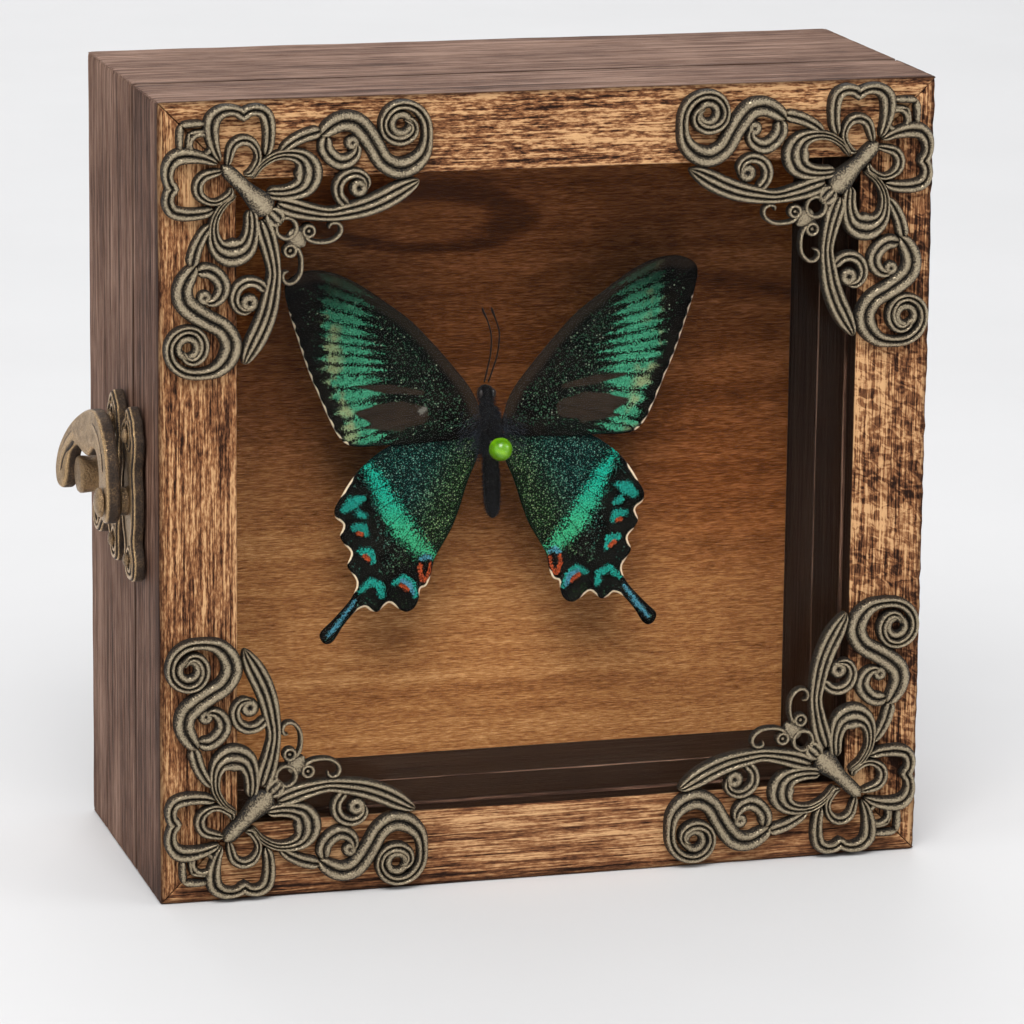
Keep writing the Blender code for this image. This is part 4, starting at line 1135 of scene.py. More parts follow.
def hinge_leaf(hinge, body, toward, rows):
    """A leaf with its rolled knuckles. toward is -1 on the door's side and 1 on the case's."""
    node = f"{hinge}_hinge_{body}_leaf"
    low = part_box(node)[0]
    foot = low.z
    pitch = LEAF_TALL / 3
    lower_cut = foot + pitch - toward * KNUCKLE_GAP
    upper_cut = foot + 2 * pitch + toward * KNUCKLE_GAP
    cuts = [foot, lower_cut, upper_cut, foot + LEAF_TALL]
    outline = [(toward * LEAF_REACH, foot + LEAF_TALL), (toward * LEAF_REACH, foot)]
    for row, (start, end) in enumerate(zip(cuts, cuts[1:])):
        edge = toward * (0.6 * MM if row in rows else KNUCKLE + KNUCKLE_GAP)
        outline += [(edge, start), (edge, end)]
    corners = []
    for place, corner in enumerate(outline):
        for other in (outline[place - 1], outline[(place + 1) % len(outline)]):
            span = np.array(other) - np.array(corner)
            corners.append(tuple(np.array(corner) + span / np.linalg.norm(span) * 0.35 * MM))
    work, worn = straight_plate(corners, LEAF_THICK, 0.22 * MM)
    lie = Matrix(((0, 0, 1, low.x), (1, 0, 0, HINGE_AXIS[1]), (0, 1, 0, 0), (0, 0, 0, 1)))
    work.transform(lie)
    for row in rows:
        start = cuts[row] if toward < 0 else foot + row * pitch
        end = cuts[row + 1] if toward < 0 else foot + (row + 1) * pitch
        ease = 0.25 * MM
        bore = 0.78 * MM
        tube = [
            (bore, start + ease), (bore + ease, start), (KNUCKLE - ease, start), (KNUCKLE, start + ease),
            (KNUCKLE, end - ease), (KNUCKLE - ease, end), (bore + ease, end), (bore, end - ease),
        ]
        rings = []
        for radius, height in tube + tube[:1]:
            ring = []
            for side in range(32):
                turn = 2 * math.pi * side / 32
                seam = 0.12 * MM * math.exp(-((side - 8) / 0.8) ** 2) if radius > 1.5 * MM else 0.0
                spot = (
                    HINGE_AXIS[0] + (radius - seam) * math.cos(turn),
                    HINGE_AXIS[1] + (radius - seam) * math.sin(turn),
                    height,
                )
                vertex = work.verts.new(spot)
                vertex[worn] = 0.75 if radius > 1.3 * MM else 0.1
                ring.append(vertex)
            rings.append(ring)
        skin(work, rings, capped=False)
    bmesh.ops.remove_doubles(work, verts=work.verts, dist=1e-6)
    mesh = finished_mesh(work, node + "_rolled")
    add_piece(node + "_rolled", mesh, latch_bronze, body, "latch_bronze", node)


for hinge in ("lower", "upper"):
    hinge_leaf(hinge, "door", -1, (1,))
    hinge_leaf(hinge, "case", 1, (0, 2))
    node = f"{hinge}_hinge_pin"
    low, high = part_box(node)
    work, worn = new_casting()
    shoulder = high.z - 1.0 * MM
    profile = dome(1.3 * MM, 0.6 * MM, high.z - 0.6 * MM)[:-2]
    profile += [(1.3 * MM, shoulder), (0.7 * MM, shoulder), (0.7 * MM, low.z + 0.2 * MM)]
    profile += [(0.5 * MM, low.z), (0.0, low.z)]
    turned(work, worn, profile, 24, HINGE_AXIS, 0.7)
    mesh = finished_mesh(work, node + "_turned")
    add_piece(node + "_turned", mesh, latch_bronze, "case", "latch_bronze", node)

# Wings. Two fore and two hind wings of dried membrane with dark veins, covered in scales:
# black ground, green and teal dust, a hairy brown patch, and cream fringes at the margins.
# They are spread flat, with the forewings lying over the hindwings.
BODY_X = -4.2  # every wing outline is (out from here, height) in millimetres
WING_GRID = 0.42
WING_THICK = 0.2
FOREWING = [
    (2.6, 81.6), (2.6, 86.4), (4.2, 90.2), (7.0, 94.0), (11.5, 99.3), (16.5, 104.5),
    (21.5, 108.3), (26.5, 111.8), (31.0, 114.0), (35.5, 114.8), (39.0, 114.0), (40.8, 112.0),
    (40.3, 108.0), (38.2, 101.2), (36.1, 95.0), (34.3, 90.8), (32.5, 86.5), (30.5, 82.6),
    (28.6, 80.8), (26.0, 80.2), (22.0, 80.3), (12.0, 80.4),
]
HINDWING = [
    (2.6, 77.0), (2.6, 81.2), (10.0, 82.0), (17.0, 81.2), (21.0, 79.6), (24.2, 77.4),
    (26.5, 75.2), (28.3, 72.8), (29.6, 70.6), (30.9, 68.2), (30.7, 66.4), (29.2, 64.9),
    (29.8, 62.7), (29.0, 61.1), (27.7, 59.3), (28.4, 56.9), (27.6, 55.4), (26.6, 53.6),
    (27.0, 51.6), (28.4, 49.4), (31.4, 46.2), (33.7, 43.9), (33.5, 42.3), (32.4, 41.5),
    (31.0, 42.2), (29.2, 45.0), (26.9, 47.6), (25.0, 48.5), (23.8, 47.7), (22.4, 47.4),
    (21.2, 48.4), (20.0, 49.0), (18.2, 47.7), (16.6, 47.0), (15.0, 47.8), (14.2, 49.6),
    (13.9, 51.4), (12.7, 52.0), (11.8, 54.2), (11.2, 57.0), (9.9, 59.4), (7.8, 63.0),
    (6.2, 67.0), (4.6, 72.0),
]
FOREWING_FAN = (-12.0, 93.0)
FOREWING_VEINS = [80.0, 81.9, 84.9, 88.2, 91.7, 94.6, 96.6, 98.8, 101.0, 103.0, 105.2, 107.6, 110.0, 112.3]
FAN_MEASURE = 33.0  # the vein heights above are this far out
STREAK_MIDDLE = [(79, 25.0), (84, 25.7), (90, 26.9), (98, 28.3), (105, 29.2), (112, 29.4)]
STREAK_HALF = [(79, 4.4), (81.5, 3.6), (84, 2.9), (90, 3.6), (97, 4.6), (101, 3.7), (112, 3.6)]
HINDWING_FAN = (3.0, 79.5)
HINDWING_TIPS = [
    (21.0, 79.6), (26.5, 75.2), (30.9, 68.2), (29.8, 62.7), (28.4, 56.9), (31.4, 44.0), (22.6, 47.3),
    (16.2, 47.0), (12.4, 52.5), (7.8, 63.0),
]
# Scale patches on a hind wing, as lines of (out, height, half width).
TEAL_BAND = [
    (24.8, 76.3, 0.5), (22.4, 72.6, 1.2), (20.2, 68.0, 1.8), (17.2, 63.2, 1.9), (13.6, 59.2, 1.2),
    (11.6, 58.2, 0.5),
]
TEAL_MARKS = [
    [(25.4, 70.0, 0.4), (27.4, 69.2, 1.25), (28.9, 68.0, 0.7)],
    [(24.9, 66.4, 0.35), (26.2, 67.0, 0.6)],
    [(24.6, 62.8, 0.35), (25.3, 64.2, 0.75), (27.0, 64.3, 0.6)],
    [(23.4, 57.6, 0.45), (24.0, 59.3, 0.75), (25.8, 59.6, 0.55)],
    [(21.6, 50.6, 0.5), (22.0, 52.6, 0.6), (23.9, 53.5, 0.65), (26.0, 51.6, 0.35)],
    [(14.9, 50.2, 0.35), (15.6, 52.4, 0.6), (17.4, 53.8, 0.65), (19.2, 52.9, 0.35)],
]
BLUE_MARKS = [
    [(27.0, 49.8, 0.25), (29.6, 46.2, 0.38), (32.2, 43.3, 0.3)],
    [(15.3, 50.6, 0.3), (16.2, 52.6, 0.5), (17.6, 53.2, 0.45)],
    [(11.9, 57.5, 0.30), (12.9, 57.9, 0.42), (13.8, 57.2, 0.32)],
]
RED_MARKS = [
    [(25.5, 62.8, 0.35), (26.3, 63.1, 0.35)],
    [(24.2, 57.9, 0.45), (25.0, 58.6, 0.4)],
    [(16.5, 51.4, 0.35), (17.8, 52.5, 0.4)],
    [(13.9, 56.6, 0.25), (14.1, 55.0, 0.34), (13.5, 53.2, 0.42)],
    [(12.0, 56.4, 0.22), (12.2, 54.6, 0.24), (13.1, 53.0, 0.34)],
]
NOTCHES = [(28.6, 72.4), (29.3, 65.0), (27.6, 59.3), (26.5, 53.6), (25.0, 48.5), (20.0, 49.0), (13.0, 52.0)]
WING_DARK = (0.0014, 0.0011, 0.0009)
WING_BROWN = (0.020, 0.0125, 0.0085)


def line_depth(points, line):
    """How far inside a line of varying width each point lies, in millimetres."""
    line = np.array(line, float)
    depth = np.full(len(points), -99.0)
    for start, end in zip(line, line[1:]):
        span = (end - start)[:2]
        share = np.clip((points - start[:2]) @ span / (span @ span), 0, 1)
        near = start[:2] + share[:, None] * span
        half = start[2] + share * (end[2] - start[2])
        depth = np.maximum(depth, half - np.linalg.norm(points - near, axis=1))
    return depth


def lines_depth(points, lines):
    """How far inside the nearest of several lines each point lies."""
    return np.max([line_depth(points, line) for line in lines], axis=0)


def spread(table, heights):
    """The table's second column, read off at each height."""
    table = np.array(table, float)
    return np.interp(heights, table[:, 0], table[:, 1])


def forewing_marks(points, rim):
    """What each point of a forewing needs for its scales: veins, bars, patches and edges."""
    out, height = points.T
    fan_out, fan_height = FOREWING_FAN
    swing = (FAN_MEASURE - fan_out) / (out - fan_out)
    measured = fan_height + (height - fan_height) * swing
    veins = np.array(FOREWING_VEINS)
    low_end, high_end = veins[0] - 20, veins[-1] + 20
    places = np.concatenate([[-8.0], np.arange(len(veins)), [len(veins) + 7.0]])
    vein = np.interp(measured, np.concatenate([[low_end], veins, [high_end]]), places)
    leading = line_depth(points, [(*corner, 0) for corner in FOREWING[1:11]])
    outer = line_depth(points, [(*corner, 0) for corner in FOREWING[12:19]])
    patch = line_depth(points, [(14.6, 85.9, 1.9), (18.5, 86.1, 2.7), (22.6, 86.2, 2.2), (27.0, 86.9, 0.3)])
    arm = line_depth(points, [(14.0, 90.2, 0.4), (20.5, 91.2, 0.9), (26.5, 92.0, 0.2)])
    low_arm = line_depth(points, [(18.0, 83.6, 0.7), (25.2, 84.0, 0.2)])
    return {
        "vein": vein,
        "streak": (out - spread(STREAK_MIDDLE, height)) / spread(STREAK_HALF, height),
        "out": out,
        "high": height,
        "rim": rim,
        "leading": -leading,
        "cream": 0.18 + 0.14 * np.cos(2 * np.pi * vein) + outer - 0.5 * np.maximum(0, height - 106.5),
        "patch": np.maximum(patch, np.maximum(arm, low_arm)),
        "scar": line_depth(points, [(13.6, 86.9, 0.5), (14.2, 86.6, 0.6)]),
    }


def hindwing_marks(points, rim):
    """What each point of a hindwing needs for its scales: veins, band, crescents and edges."""
    out, height = points.T
    fan = np.array(HINDWING_FAN)
    tips = np.array(HINDWING_TIPS) - fan
    tip_turns = np.arctan2(tips[:, 1], tips[:, 0])[::-1]
    turns = np.arctan2(height - fan[1], out - fan[0])
    places = np.arange(len(tip_turns), dtype=float)
    ends = ([tip_turns[0] - 0.5], [tip_turns[-1] + 0.5])
    vein = np.interp(
        turns,
        np.concatenate([ends[0], tip_turns, ends[1]]),
        np.concatenate([[-1.0], places, [len(places)]]),
    )
    notch_far = np.min([np.linalg.norm(points - np.array(notch), axis=1) for notch in NOTCHES], axis=0)
    return {
        "vein": vein,
        "band": line_depth(points, TEAL_BAND),
        "teal": lines_depth(points, TEAL_MARKS),
        "blue": lines_depth(points, BLUE_MARKS),
        "red": lines_depth(points, RED_MARKS),
        "out": out,
        "high": height,
        "rim": rim,
        "cream": 0.36 - rim - 0.40 * np.maximum(0, notch_far - 1.4),
    }


def camber(points):
    """How far a spread wing bows forward, in millimetres."""
    out, height = points.T
    return 0.5 * np.sin(np.clip(out / 42, 0, 1) * math.pi) + 0.12 * np.sin(height * 0.21 + out * 0.13)


def wing_mesh(name, outline, marks_of, side, plane):
    """A thin two-sided wing with its scale marks kept at each point."""
    edge = smooth_path(np.array(outline), 0.27, closed=True)
    lowest = edge.min(axis=0)
    highest = edge.max(axis=0)
    rows = np.arange(lowest[1], highest[1], WING_GRID * 0.87)
    columns = np.arange(lowest[0], highest[0], WING_GRID)
    grid = np.array([
        (x + (row % 2) * WING_GRID / 2, z) for row, z in enumerate(rows) for x in columns
    ])
    following = np.roll(edge, -1, axis=0)
    crossed = np.zeros(len(grid), bool)
    for start, end in zip(edge, following):
        straddles = (start[1] > grid[:, 1]) != (end[1] > grid[:, 1])
        if start[1] != end[1]:
            at = start[0] + (grid[:, 1] - start[1]) * (end[0] - start[0]) / (end[1] - start[1])
            crossed ^= straddles & (grid[:, 0] < at)
    grid = grid[crossed]
    closed_edge = np.column_stack([np.vstack([edge, edge[:1]]), np.zeros(len(edge) + 1)])
    from_edge = -line_depth(grid, closed_edge)
    grid = grid[from_edge > 0.2]
    points = np.vstack([edge, grid])
    flat, _, faces, _, _, _ = geometry.delaunay_2d_cdt(
        [Vector(point) for point in points], [], [list(range(len(edge)))], 1, 1e-5
    )
    points = np.array([tuple(point) for point in flat])
    rim = np.maximum(0, -line_depth(points, closed_edge))
    marks = marks_of(points, rim)
    if side > 0 and "scar" in marks:  # only the left forewing is rubbed bare in one spot
        marks["scar"] = np.full(len(points), -9.0)
    pleat = 0.07 * np.cos(2 * math.pi * marks["vein"]) * np.clip(marks["rim"] / 2, 0, 1)
    thick = WING_THICK / 2 * np.clip(0.35 + rim / 0.7, 0, 1)
    bow = camber(points) + pleat * np.clip((points[:, 0] - 6) / 8, 0, 1)
    count = len(points)
    x = (BODY_X + side * points[:, 0]) * MM
    z = points[:, 1] * MM
    front = np.stack([x, plane - (bow + thick) * MM, z], axis=1)
    back = np.stack([x, plane - (bow - thick) * MM, z], axis=1)
    used = {}
    for face in faces:
        used.update(dict.fromkeys(zip(face, face[1:] + face[:1])))
    rim_edges = [pair for pair in used if pair[::-1] not in used]
    all_faces = [tuple(face) for face in faces]
    all_faces += [tuple(corner + count for corner in reversed(face)) for face in faces]
    all_faces += [(second, first, first + count, second + count) for first, second in rim_edges]
    mesh = bpy.data.meshes.new(name)
    mesh.from_pydata(np.vstack([front, back]).tolist(), [], all_faces)
    for key, values in marks.items():
        layer = mesh.attributes.new(key, "FLOAT", "POINT")
        layer.data.foreach_set("value", np.concatenate([values, values]).astype(np.float32))
    if side < 0:
        mesh.flip_normals()
    mesh.update()
    mesh.shade_smooth()
    return mesh


def edge_of(tree, depth, dust, fuzz, soft=0.06):
    """A ragged scale edge: 1 where depth plus the dust's jitter is above zero."""
    jitter = maths(tree, "MULTIPLY_ADD", dust, fuzz, -0.5 * fuzz)
    return between(tree, maths(tree, "ADD", depth, jitter), -soft, soft)


def scale_dots(tree, place, density, shift):
    """Single pale scales: one dot in each cell whose own number is under density."""
    cells = shader(tree, "TexVoronoi", {"Vector": shader(
        tree, "Mapping", {"Vector": place, "Location": shift}
    ).outputs["Vector"], "Scale": 3300.0, "Randomness": 1.0})
    number = shader(tree, "SeparateColor", {"Color": cells.outputs["Color"]}).outputs[0]
    chosen = between(tree, maths(tree, "SUBTRACT", density, number), -0.02, 0.06)
    near = between(tree, cells.outputs["Distance"], 0.30, 0.46, 1.0, 0.0)
    return maths(tree, "MULTIPLY", chosen, near), number


def vein_lines(tree, vein, width):
    """1 on a vein, falling to 0 beside it; vein counts up by one at each."""
    part = maths(tree, "FRACT", vein)
    beside = maths(tree, "MINIMUM", part, maths(tree, "SUBTRACT", 1.0, part))
    return between(tree, beside, 0.0, width, 1.0, 0.0), beside


def wing_surface(tree, output, colour, height, shine):
    """The dry, faintly glossy coat of a scaled wing. shine is 1 where the scales are green."""
    surface(tree, output, {
        "Base Color": colour,
        "Roughness": between(tree, shine, 0.0, 1.0, 0.66, 0.45),
        "Specular IOR Level": 0.04,
        "Normal": relief(tree, height, 0.06 * MM, 0.8),
    })


forewing_finish, tree, output, place = new_finish("forewing_scales")
dust = grain(tree, place, (3600, 3600, 3600), detail=2, roughness=0.7)
rows_noise = grain(tree, place, (500, 500, 1500), detail=3)
patches = grain(tree, place, (260, 260, 260), detail=2)
out = painted(tree, "out")
high = painted(tree, "high")
streak = painted(tree, "streak")
on_vein, beside = vein_lines(tree, painted(tree, "vein"), 0.10)
density = between(tree, out, 30.0, 20.0, 0.14, 0.36)
density = maths(tree, "MULTIPLY", density, between(tree, painted(tree, "rim"), 0.8, 3.0, 0.10, 1.0))
density = maths(tree, "MULTIPLY", density, between(tree, painted(tree, "leading"), 1.6, 3.4, 0.12, 1.0))
density = maths(tree, "MULTIPLY", density, between(tree, on_vein, 0.1, 0.9, 1.0, 0.45))
dots, number = scale_dots(tree, place, density, (0, 0, 0))
dot_tone = tones(tree, maths(tree, "FRACT", maths(tree, "MULTIPLY", number, 17.0)), [
    (0.0, (0.010, 0.040, 0.021)), (0.5, (0.034, 0.125, 0.064)),
    (0.85, (0.11, 0.24, 0.135)), (1.0, (0.44, 0.50, 0.36)),
])
ground = blended(tree, between(tree, patches, 0.35, 0.65), WING_DARK, (0.0055, 0.0040, 0.0029))
ground = blended(tree, between(tree, painted(tree, "leading"), 2.6, 1.2), ground, WING_BROWN)
colour = blended(tree, dots, ground, dot_tone)
haze = maths(tree, "MULTIPLY", between(tree, out, 8.0, 17.0), between(tree, out, 29.0, 22.0))
colour = blended(tree, maths(tree, "MULTIPLY", haze, 0.2), colour, (0.003, 0.010, 0.007))
inner_taper = maths(tree, "MULTIPLY_ADD", streak, 0.40, 0.52)
outer_taper = maths(tree, "MULTIPLY_ADD", streak, -0.85, 1.12)
half_width = maths(tree, "MINIMUM", maths(tree, "MINIMUM", inner_taper, outer_taper), 0.34)
from_middle = maths(tree, "SUBTRACT", 0.5, beside)
bar_depth = maths(tree, "SUBTRACT", half_width, from_middle)
bar_depth = maths(tree, "MULTIPLY_ADD", rows_noise, 0.24, maths(tree, "SUBTRACT", bar_depth, 0.12))
bars = edge_of(tree, bar_depth, dust, 1.7, 0.05)
thinning = between(tree, high, 112.0, 103.0, 0.12, 1.0)
thinning = maths(tree, "MULTIPLY", thinning, between(tree, dust, 0.34, 0.46, 0.35, 1.0))
bars = maths(tree, "MULTIPLY", bars, thinning)
bars = maths(tree, "MULTIPLY", bars, between(tree, painted(tree, "rim"), 0.3, 0.9))
bar_shade = maths(tree, "MULTIPLY_ADD", rows_noise, 0.5, -0.19)
bar_tone = tones(tree, maths(tree, "MULTIPLY_ADD", dust, 0.8, bar_shade), [
    (0.22, (0.012, 0.075, 0.040)), (0.42, (0.030, 0.19, 0.105)),
    (0.62, (0.065, 0.34, 0.19)), (0.85, (0.27, 0.50, 0.32)),
])
gold_place = maths(tree, "MULTIPLY", between(tree, streak, 0.0, 0.75), between(tree, patches, 0.44, 0.60))
bar_tone = blended(tree, maths(tree, "MULTIPLY", gold_place, 0.5), bar_tone, (0.40, 0.30, 0.13))
colour = blended(tree, bars, colour, bar_tone)
hair_brown = tones(tree, maths(tree, "MULTIPLY_ADD", rows_noise, 0.7, maths(tree, "MULTIPLY", dust, 0.3)), [
    (0.3, (0.0125, 0.0085, 0.0062)), (0.7, (0.034, 0.0215, 0.0145))
])
colour = blended(tree, edge_of(tree, painted(tree, "patch"), dust, 0.9, 0.2), colour, hair_brown)
scar = edge_of(tree, painted(tree, "scar"), dust, 1.6, 0.3)
colour = blended(tree, maths(tree, "MULTIPLY", scar, 0.65), colour, (0.20, 0.19, 0.16))
cream = edge_of(tree, painted(tree, "cream"), dust, 0.35, 0.07)
colour = blended(tree, cream, colour, (0.78, 0.62, 0.42))
wing_height = maths(tree, "MULTIPLY_ADD", on_vein, 0.9, maths(tree, "MULTIPLY", dust, 0.8))
wing_surface(tree, output, colour, wing_height, bars)

hindwing_finish, tree, output, place = new_finish("hindwing_scales")
dust = grain(tree, place, (3600, 3600, 3600), detail=2, roughness=0.7)
soft_dust = grain(tree, place, (900, 900, 900), detail=3)
patches = grain(tree, place, (230, 230, 230), detail=2)
out = painted(tree, "out")
high = painted(tree, "high")
on_vein, _ = vein_lines(tree, painted(tree, "vein"), 0.05)
outside = between(tree, maths(tree, "MULTIPLY_ADD", high, -0.74, out), -36.5, -30.5)
density = maths(tree, "MULTIPLY_ADD", outside, -0.34, 0.64)
density = maths(tree, "MULTIPLY", density, between(tree, painted(tree, "rim"), 0.3, 1.3, 0.1, 1.0))
marked = maths(tree, "MAXIMUM", painted(tree, "teal"), painted(tree, "red"))
density = maths(tree, "MULTIPLY", density, between(tree, marked, -2.4, -1.2, 1.0, 0.05))
dots, number = scale_dots(tree, place, density, (0.01, 0, 0.02))
dot_shade = maths(tree, "FRACT", maths(tree, "MULTIPLY", number, 13.0))
inner_tone = tones(tree, dot_shade, [
    (0.0, (0.024, 0.080, 0.026)), (0.5, (0.075, 0.165, 0.058)), (1.0, (0.28, 0.36, 0.17))
])
outer_tone = tones(tree, dot_shade, [
    (0.0, (0.008, 0.070, 0.055)), (0.5, (0.024, 0.155, 0.120)), (1.0, (0.19, 0.36, 0.27))
])
teal_share = between(tree, maths(tree, "MULTIPLY_ADD", high, 0.55, out), 46.0, 56.0)
dot_tone = blended(tree, teal_share, inner_tone, outer_tone)
ground = blended(tree, between(tree, patches, 0.35, 0.65), WING_DARK, (0.0050, 0.0044, 0.0032))
inner_haze = maths(tree, "SUBTRACT", 1.0, outside)
haze_tone = blended(tree, teal_share, (0.004, 0.010, 0.0035), (0.002, 0.012, 0.011))
ground = blended(tree, maths(tree, "MULTIPLY", inner_haze, 0.7), ground, haze_tone)
colour = blended(tree, dots, ground, dot_tone)
band_depth = maths(tree, "SUBTRACT", painted(tree, "band"), 1.55)
band_depth = maths(tree, "MULTIPLY_ADD", soft_dust, 2.6, band_depth)
bands = edge_of(tree, band_depth, dust, 8.0, 0.25)
bands = maths(tree, "MULTIPLY", bands, between(tree, on_vein, 0.3, 0.9, 1.0, 0.12))
band_low = blended(tree, between(tree, high, 60.0, 73.0), (0.011, 0.105, 0.046), (0.003, 0.100, 0.070))
band_high = blended(tree, between(tree, high, 60.0, 73.0), (0.045, 0.36, 0.17), (0.009, 0.38, 0.26))
band_tone = blended(tree, between(tree, dust, 0.36, 0.62), band_low, band_high)
colour = blended(tree, bands, colour, band_tone)
for mark, fuzz, soft, sparse_from, sparse, dense in (
    ("teal", 2.8, 0.12, 0.38, (0.003, 0.08, 0.065), (0.014, 0.30, 0.23)),
    ("blue", 2.0, 0.10, 0.38, (0.010, 0.060, 0.085), (0.075, 0.25, 0.33)),
    ("red", 1.4, 0.10, 0.40, (0.11, 0.014, 0.004), (0.42, 0.070, 0.018)),
):
    patch_edge = edge_of(tree, painted(tree, mark), dust, fuzz, soft)
    patch_tone = blended(tree, between(tree, dust, sparse_from, 0.62), sparse, dense)
    colour = blended(tree, patch_edge, colour, patch_tone)
cream = edge_of(tree, painted(tree, "cream"), dust, 0.4, 0.07)
colour = blended(tree, cream, colour, (0.80, 0.62, 0.42))
wing_height = maths(tree, "MULTIPLY_ADD", on_vein, 0.9, maths(tree, "MULTIPLY", dust, 0.8))
wing_surface(tree, output, colour, wing_height, bands)

for side_name, side in (("left", -1), ("right", 1)):
    for wing_name, outline, marks_of, finish in (
        ("forewing", FOREWING, forewing_marks, forewing_finish),
        ("hindwing", HINDWING, hindwing_marks, hindwing_finish),
    ):
        node = f"{side_name}_{wing_name}"
        low, high_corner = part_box(node)
        mesh = wing_mesh(node + "_scaled", outline, marks_of, side, (low.y + high_corner.y) / 2)
        add_piece(node + "_scaled", mesh, finish, "case", "wing_scales", node)

# Body. A dried black insect body, bent a little at the pin: head, thick thorax and a ringed
# abdomen, all of dull horny chitin. The pin holds it off the panel.
BODY_PLANE = -4.8
PIN_LEVEL = 79.9
BODY_SHAPE = [
    (64.4, 0.0), (64.6, 0.5), (65.2, 0.95), (66.6, 1.38), (68.6, 1.56), (71.0, 1.62), (74.2, 1.60),
    (76.4, 1.42), (77.4, 1.45), (78.6, 1.95), (80.6, 2.2), (83.2, 2.25), (85.4, 1.95), (86.8, 1.35),
    (87.4, 1.10), (88.0, 1.30), (89.0, 1.48), (90.0, 1.25), (90.6, 0.8), (90.9, 0.0),
]


def body_lean(height):
    """Where the bent body's middle is at this height, both in millimetres."""
    above = height - PIN_LEVEL
    return BODY_X - 0.093 * max(0.0, above) - 0.045 * min(0.0, above)


def body_radius(height):
    """How thick the body is at this height, from its middle, in millimetres."""
    shape = np.array(BODY_SHAPE)
    return float(np.interp(height, shape[:, 0], shape[:, 1]))


body_path = smooth_path(BODY_SHAPE, 0.22)
work = bmesh.new()
rings = []
for height, radius in body_path[:, :2]:
    radius = max(radius, 0.02)
    if height < 76.6:
        ring_place = (height - 64.4) / 1.75
        radius *= 1 - 0.075 * max(0.0, math.cos(2 * math.pi * ring_place)) ** 6
    ring = []
    for side in range(48):
        turn = 2 * math.pi * side / 48
        wrinkle = 1 + 0.035 * noise.noise(Vector((math.cos(turn) * 2.2, math.sin(turn) * 2.2, height * 0.9)))
        spot = (
            (body_lean(height) + radius * wrinkle * math.cos(turn)) * MM,
            (BODY_PLANE + radius * wrinkle * 0.96 * math.sin(turn)) * MM,
            height * MM,
        )
        ring.append(work.verts.new(spot))
    rings.append(ring)
skin(work, rings)
body_mesh = finished_mesh(work, "butterfly_body_shaped")
body_finish, tree, output, place = new_finish("body_chitin")
body_grain = grain(tree, place, (2400, 2400, 2400), detail=3)
body_tone = tones(tree, body_grain, [(0.35, (0.0014, 0.0012, 0.0012)), (0.68, (0.0075, 0.0064, 0.0064))])
pale, _ = scale_dots(tree, place, 0.05, (0.03, 0, 0.01))
body_tone = blended(tree, maths(tree, "MULTIPLY", pale, 0.5), body_tone, (0.25, 0.24, 0.20))
surface(tree, output, {
    "Base Color": body_tone,
    "Roughness": between(tree, body_grain, 0.3, 0.7, 0.42, 0.66),
    "Specular IOR Level": 0.08,
    "Normal": relief(tree, body_grain, 0.08 * MM),
})
add_piece("butterfly_body_shaped", body_mesh, body_finish, "case", "dark_fur", "butterfly_body")

# Eyes. Two round compound eyes on the sides of the head, of tiny glossy facets. They are
# grown with the body and ride with it.
eye_finish, tree, output, place = new_finish("compound_eye")
facets = shader(tree, "TexVoronoi", {"Vector": place, "Scale": 9000.0}).outputs["Distance"]
eye_tone = tones(tree, facets, [(0.1, (0.030, 0.020, 0.016)), (0.6, (0.010, 0.006, 0.005))])
surface(tree, output, {
    "Base Color": eye_tone,
    "Roughness": between(tree, facets, 0.0, 0.7, 0.16, 0.34),
    "Normal": relief(tree, facets, -0.02 * MM),
})
work = bmesh.new()
for side in (-1, 1):
    spot = Vector((body_lean(89.2) + side * 1.22, BODY_PLANE - 0.45, 89.2)) * MM
    lie = Matrix.Translation(spot) @ Matrix.Diagonal((0.72, 0.85, 1.0, 1))
    bmesh.ops.create_icosphere(work, subdivisions=4, radius=0.86 * MM, matrix=lie)
add_piece("butterfly_eyes", finished_mesh(work, "butterfly_eyes"), eye_finish, "case", "dark_fur")

# Fur. Fine black hairs on the head and thorax, shorter ones on the abdomen, and grey-blue
# tufts over the bases of the wings. Each hair is a flat blade rooted in the skin.
fur_finish, tree, output, place = new_finish("body_fur")
fur_grain = grain(tree, place, (3200, 3200, 3200), detail=2)
fur_black = tones(tree, fur_grain, [(0.3, (0.0020, 0.0017, 0.0017)), (0.7, (0.0115, 0.0098, 0.0095))])
fur_grey = tones(tree, fur_grain, [(0.3, (0.016, 0.020, 0.030)), (0.7, (0.062, 0.075, 0.105))])
fur_tone = blended(tree, painted(tree, "grey"), fur_black, fur_grey)
surface(tree, output, {
    "Base Color": fur_tone,
    "Roughness": maths(tree, "MULTIPLY_ADD", fur_grain, 0.3, 0.45),
    "Specular IOR Level": 0.08,
})
FOREWING_PLANE = -6.125
HINDWING_PLANE = -5.375
FOREWING_FOOT = 81
chance = np.random.default_rng(7)
fur_points = []
fur_faces = []
fur_greys = []
DROOP = np.array([0, 0.12, -0.30])  # of a hair's tip, as a share of its length


def hair(root, direction, length, width, grey):
    """A flat tapering blade that droops at its tip, in millimetres."""
    direction = direction / np.linalg.norm(direction)
    across = np.cross(direction, chance.normal(size=3))
    across /= max(np.linalg.norm(across), 1e-9)
    first = len(fur_points)
    for share in (0.0, 0.5):
        middle = root + direction * length * share + DROOP * length * share**2
        half = across * width / 2 * (1 - 0.4 * share)
        fur_points.append(middle - half)
        fur_points.append(middle + half)
    fur_points.append(root + direction * length + DROOP * length)
    fur_faces.append((first, first + 1, first + 3, first + 2))
    fur_faces.append((first + 2, first + 3, first + 4))
    fur_greys.extend([grey] * 5)


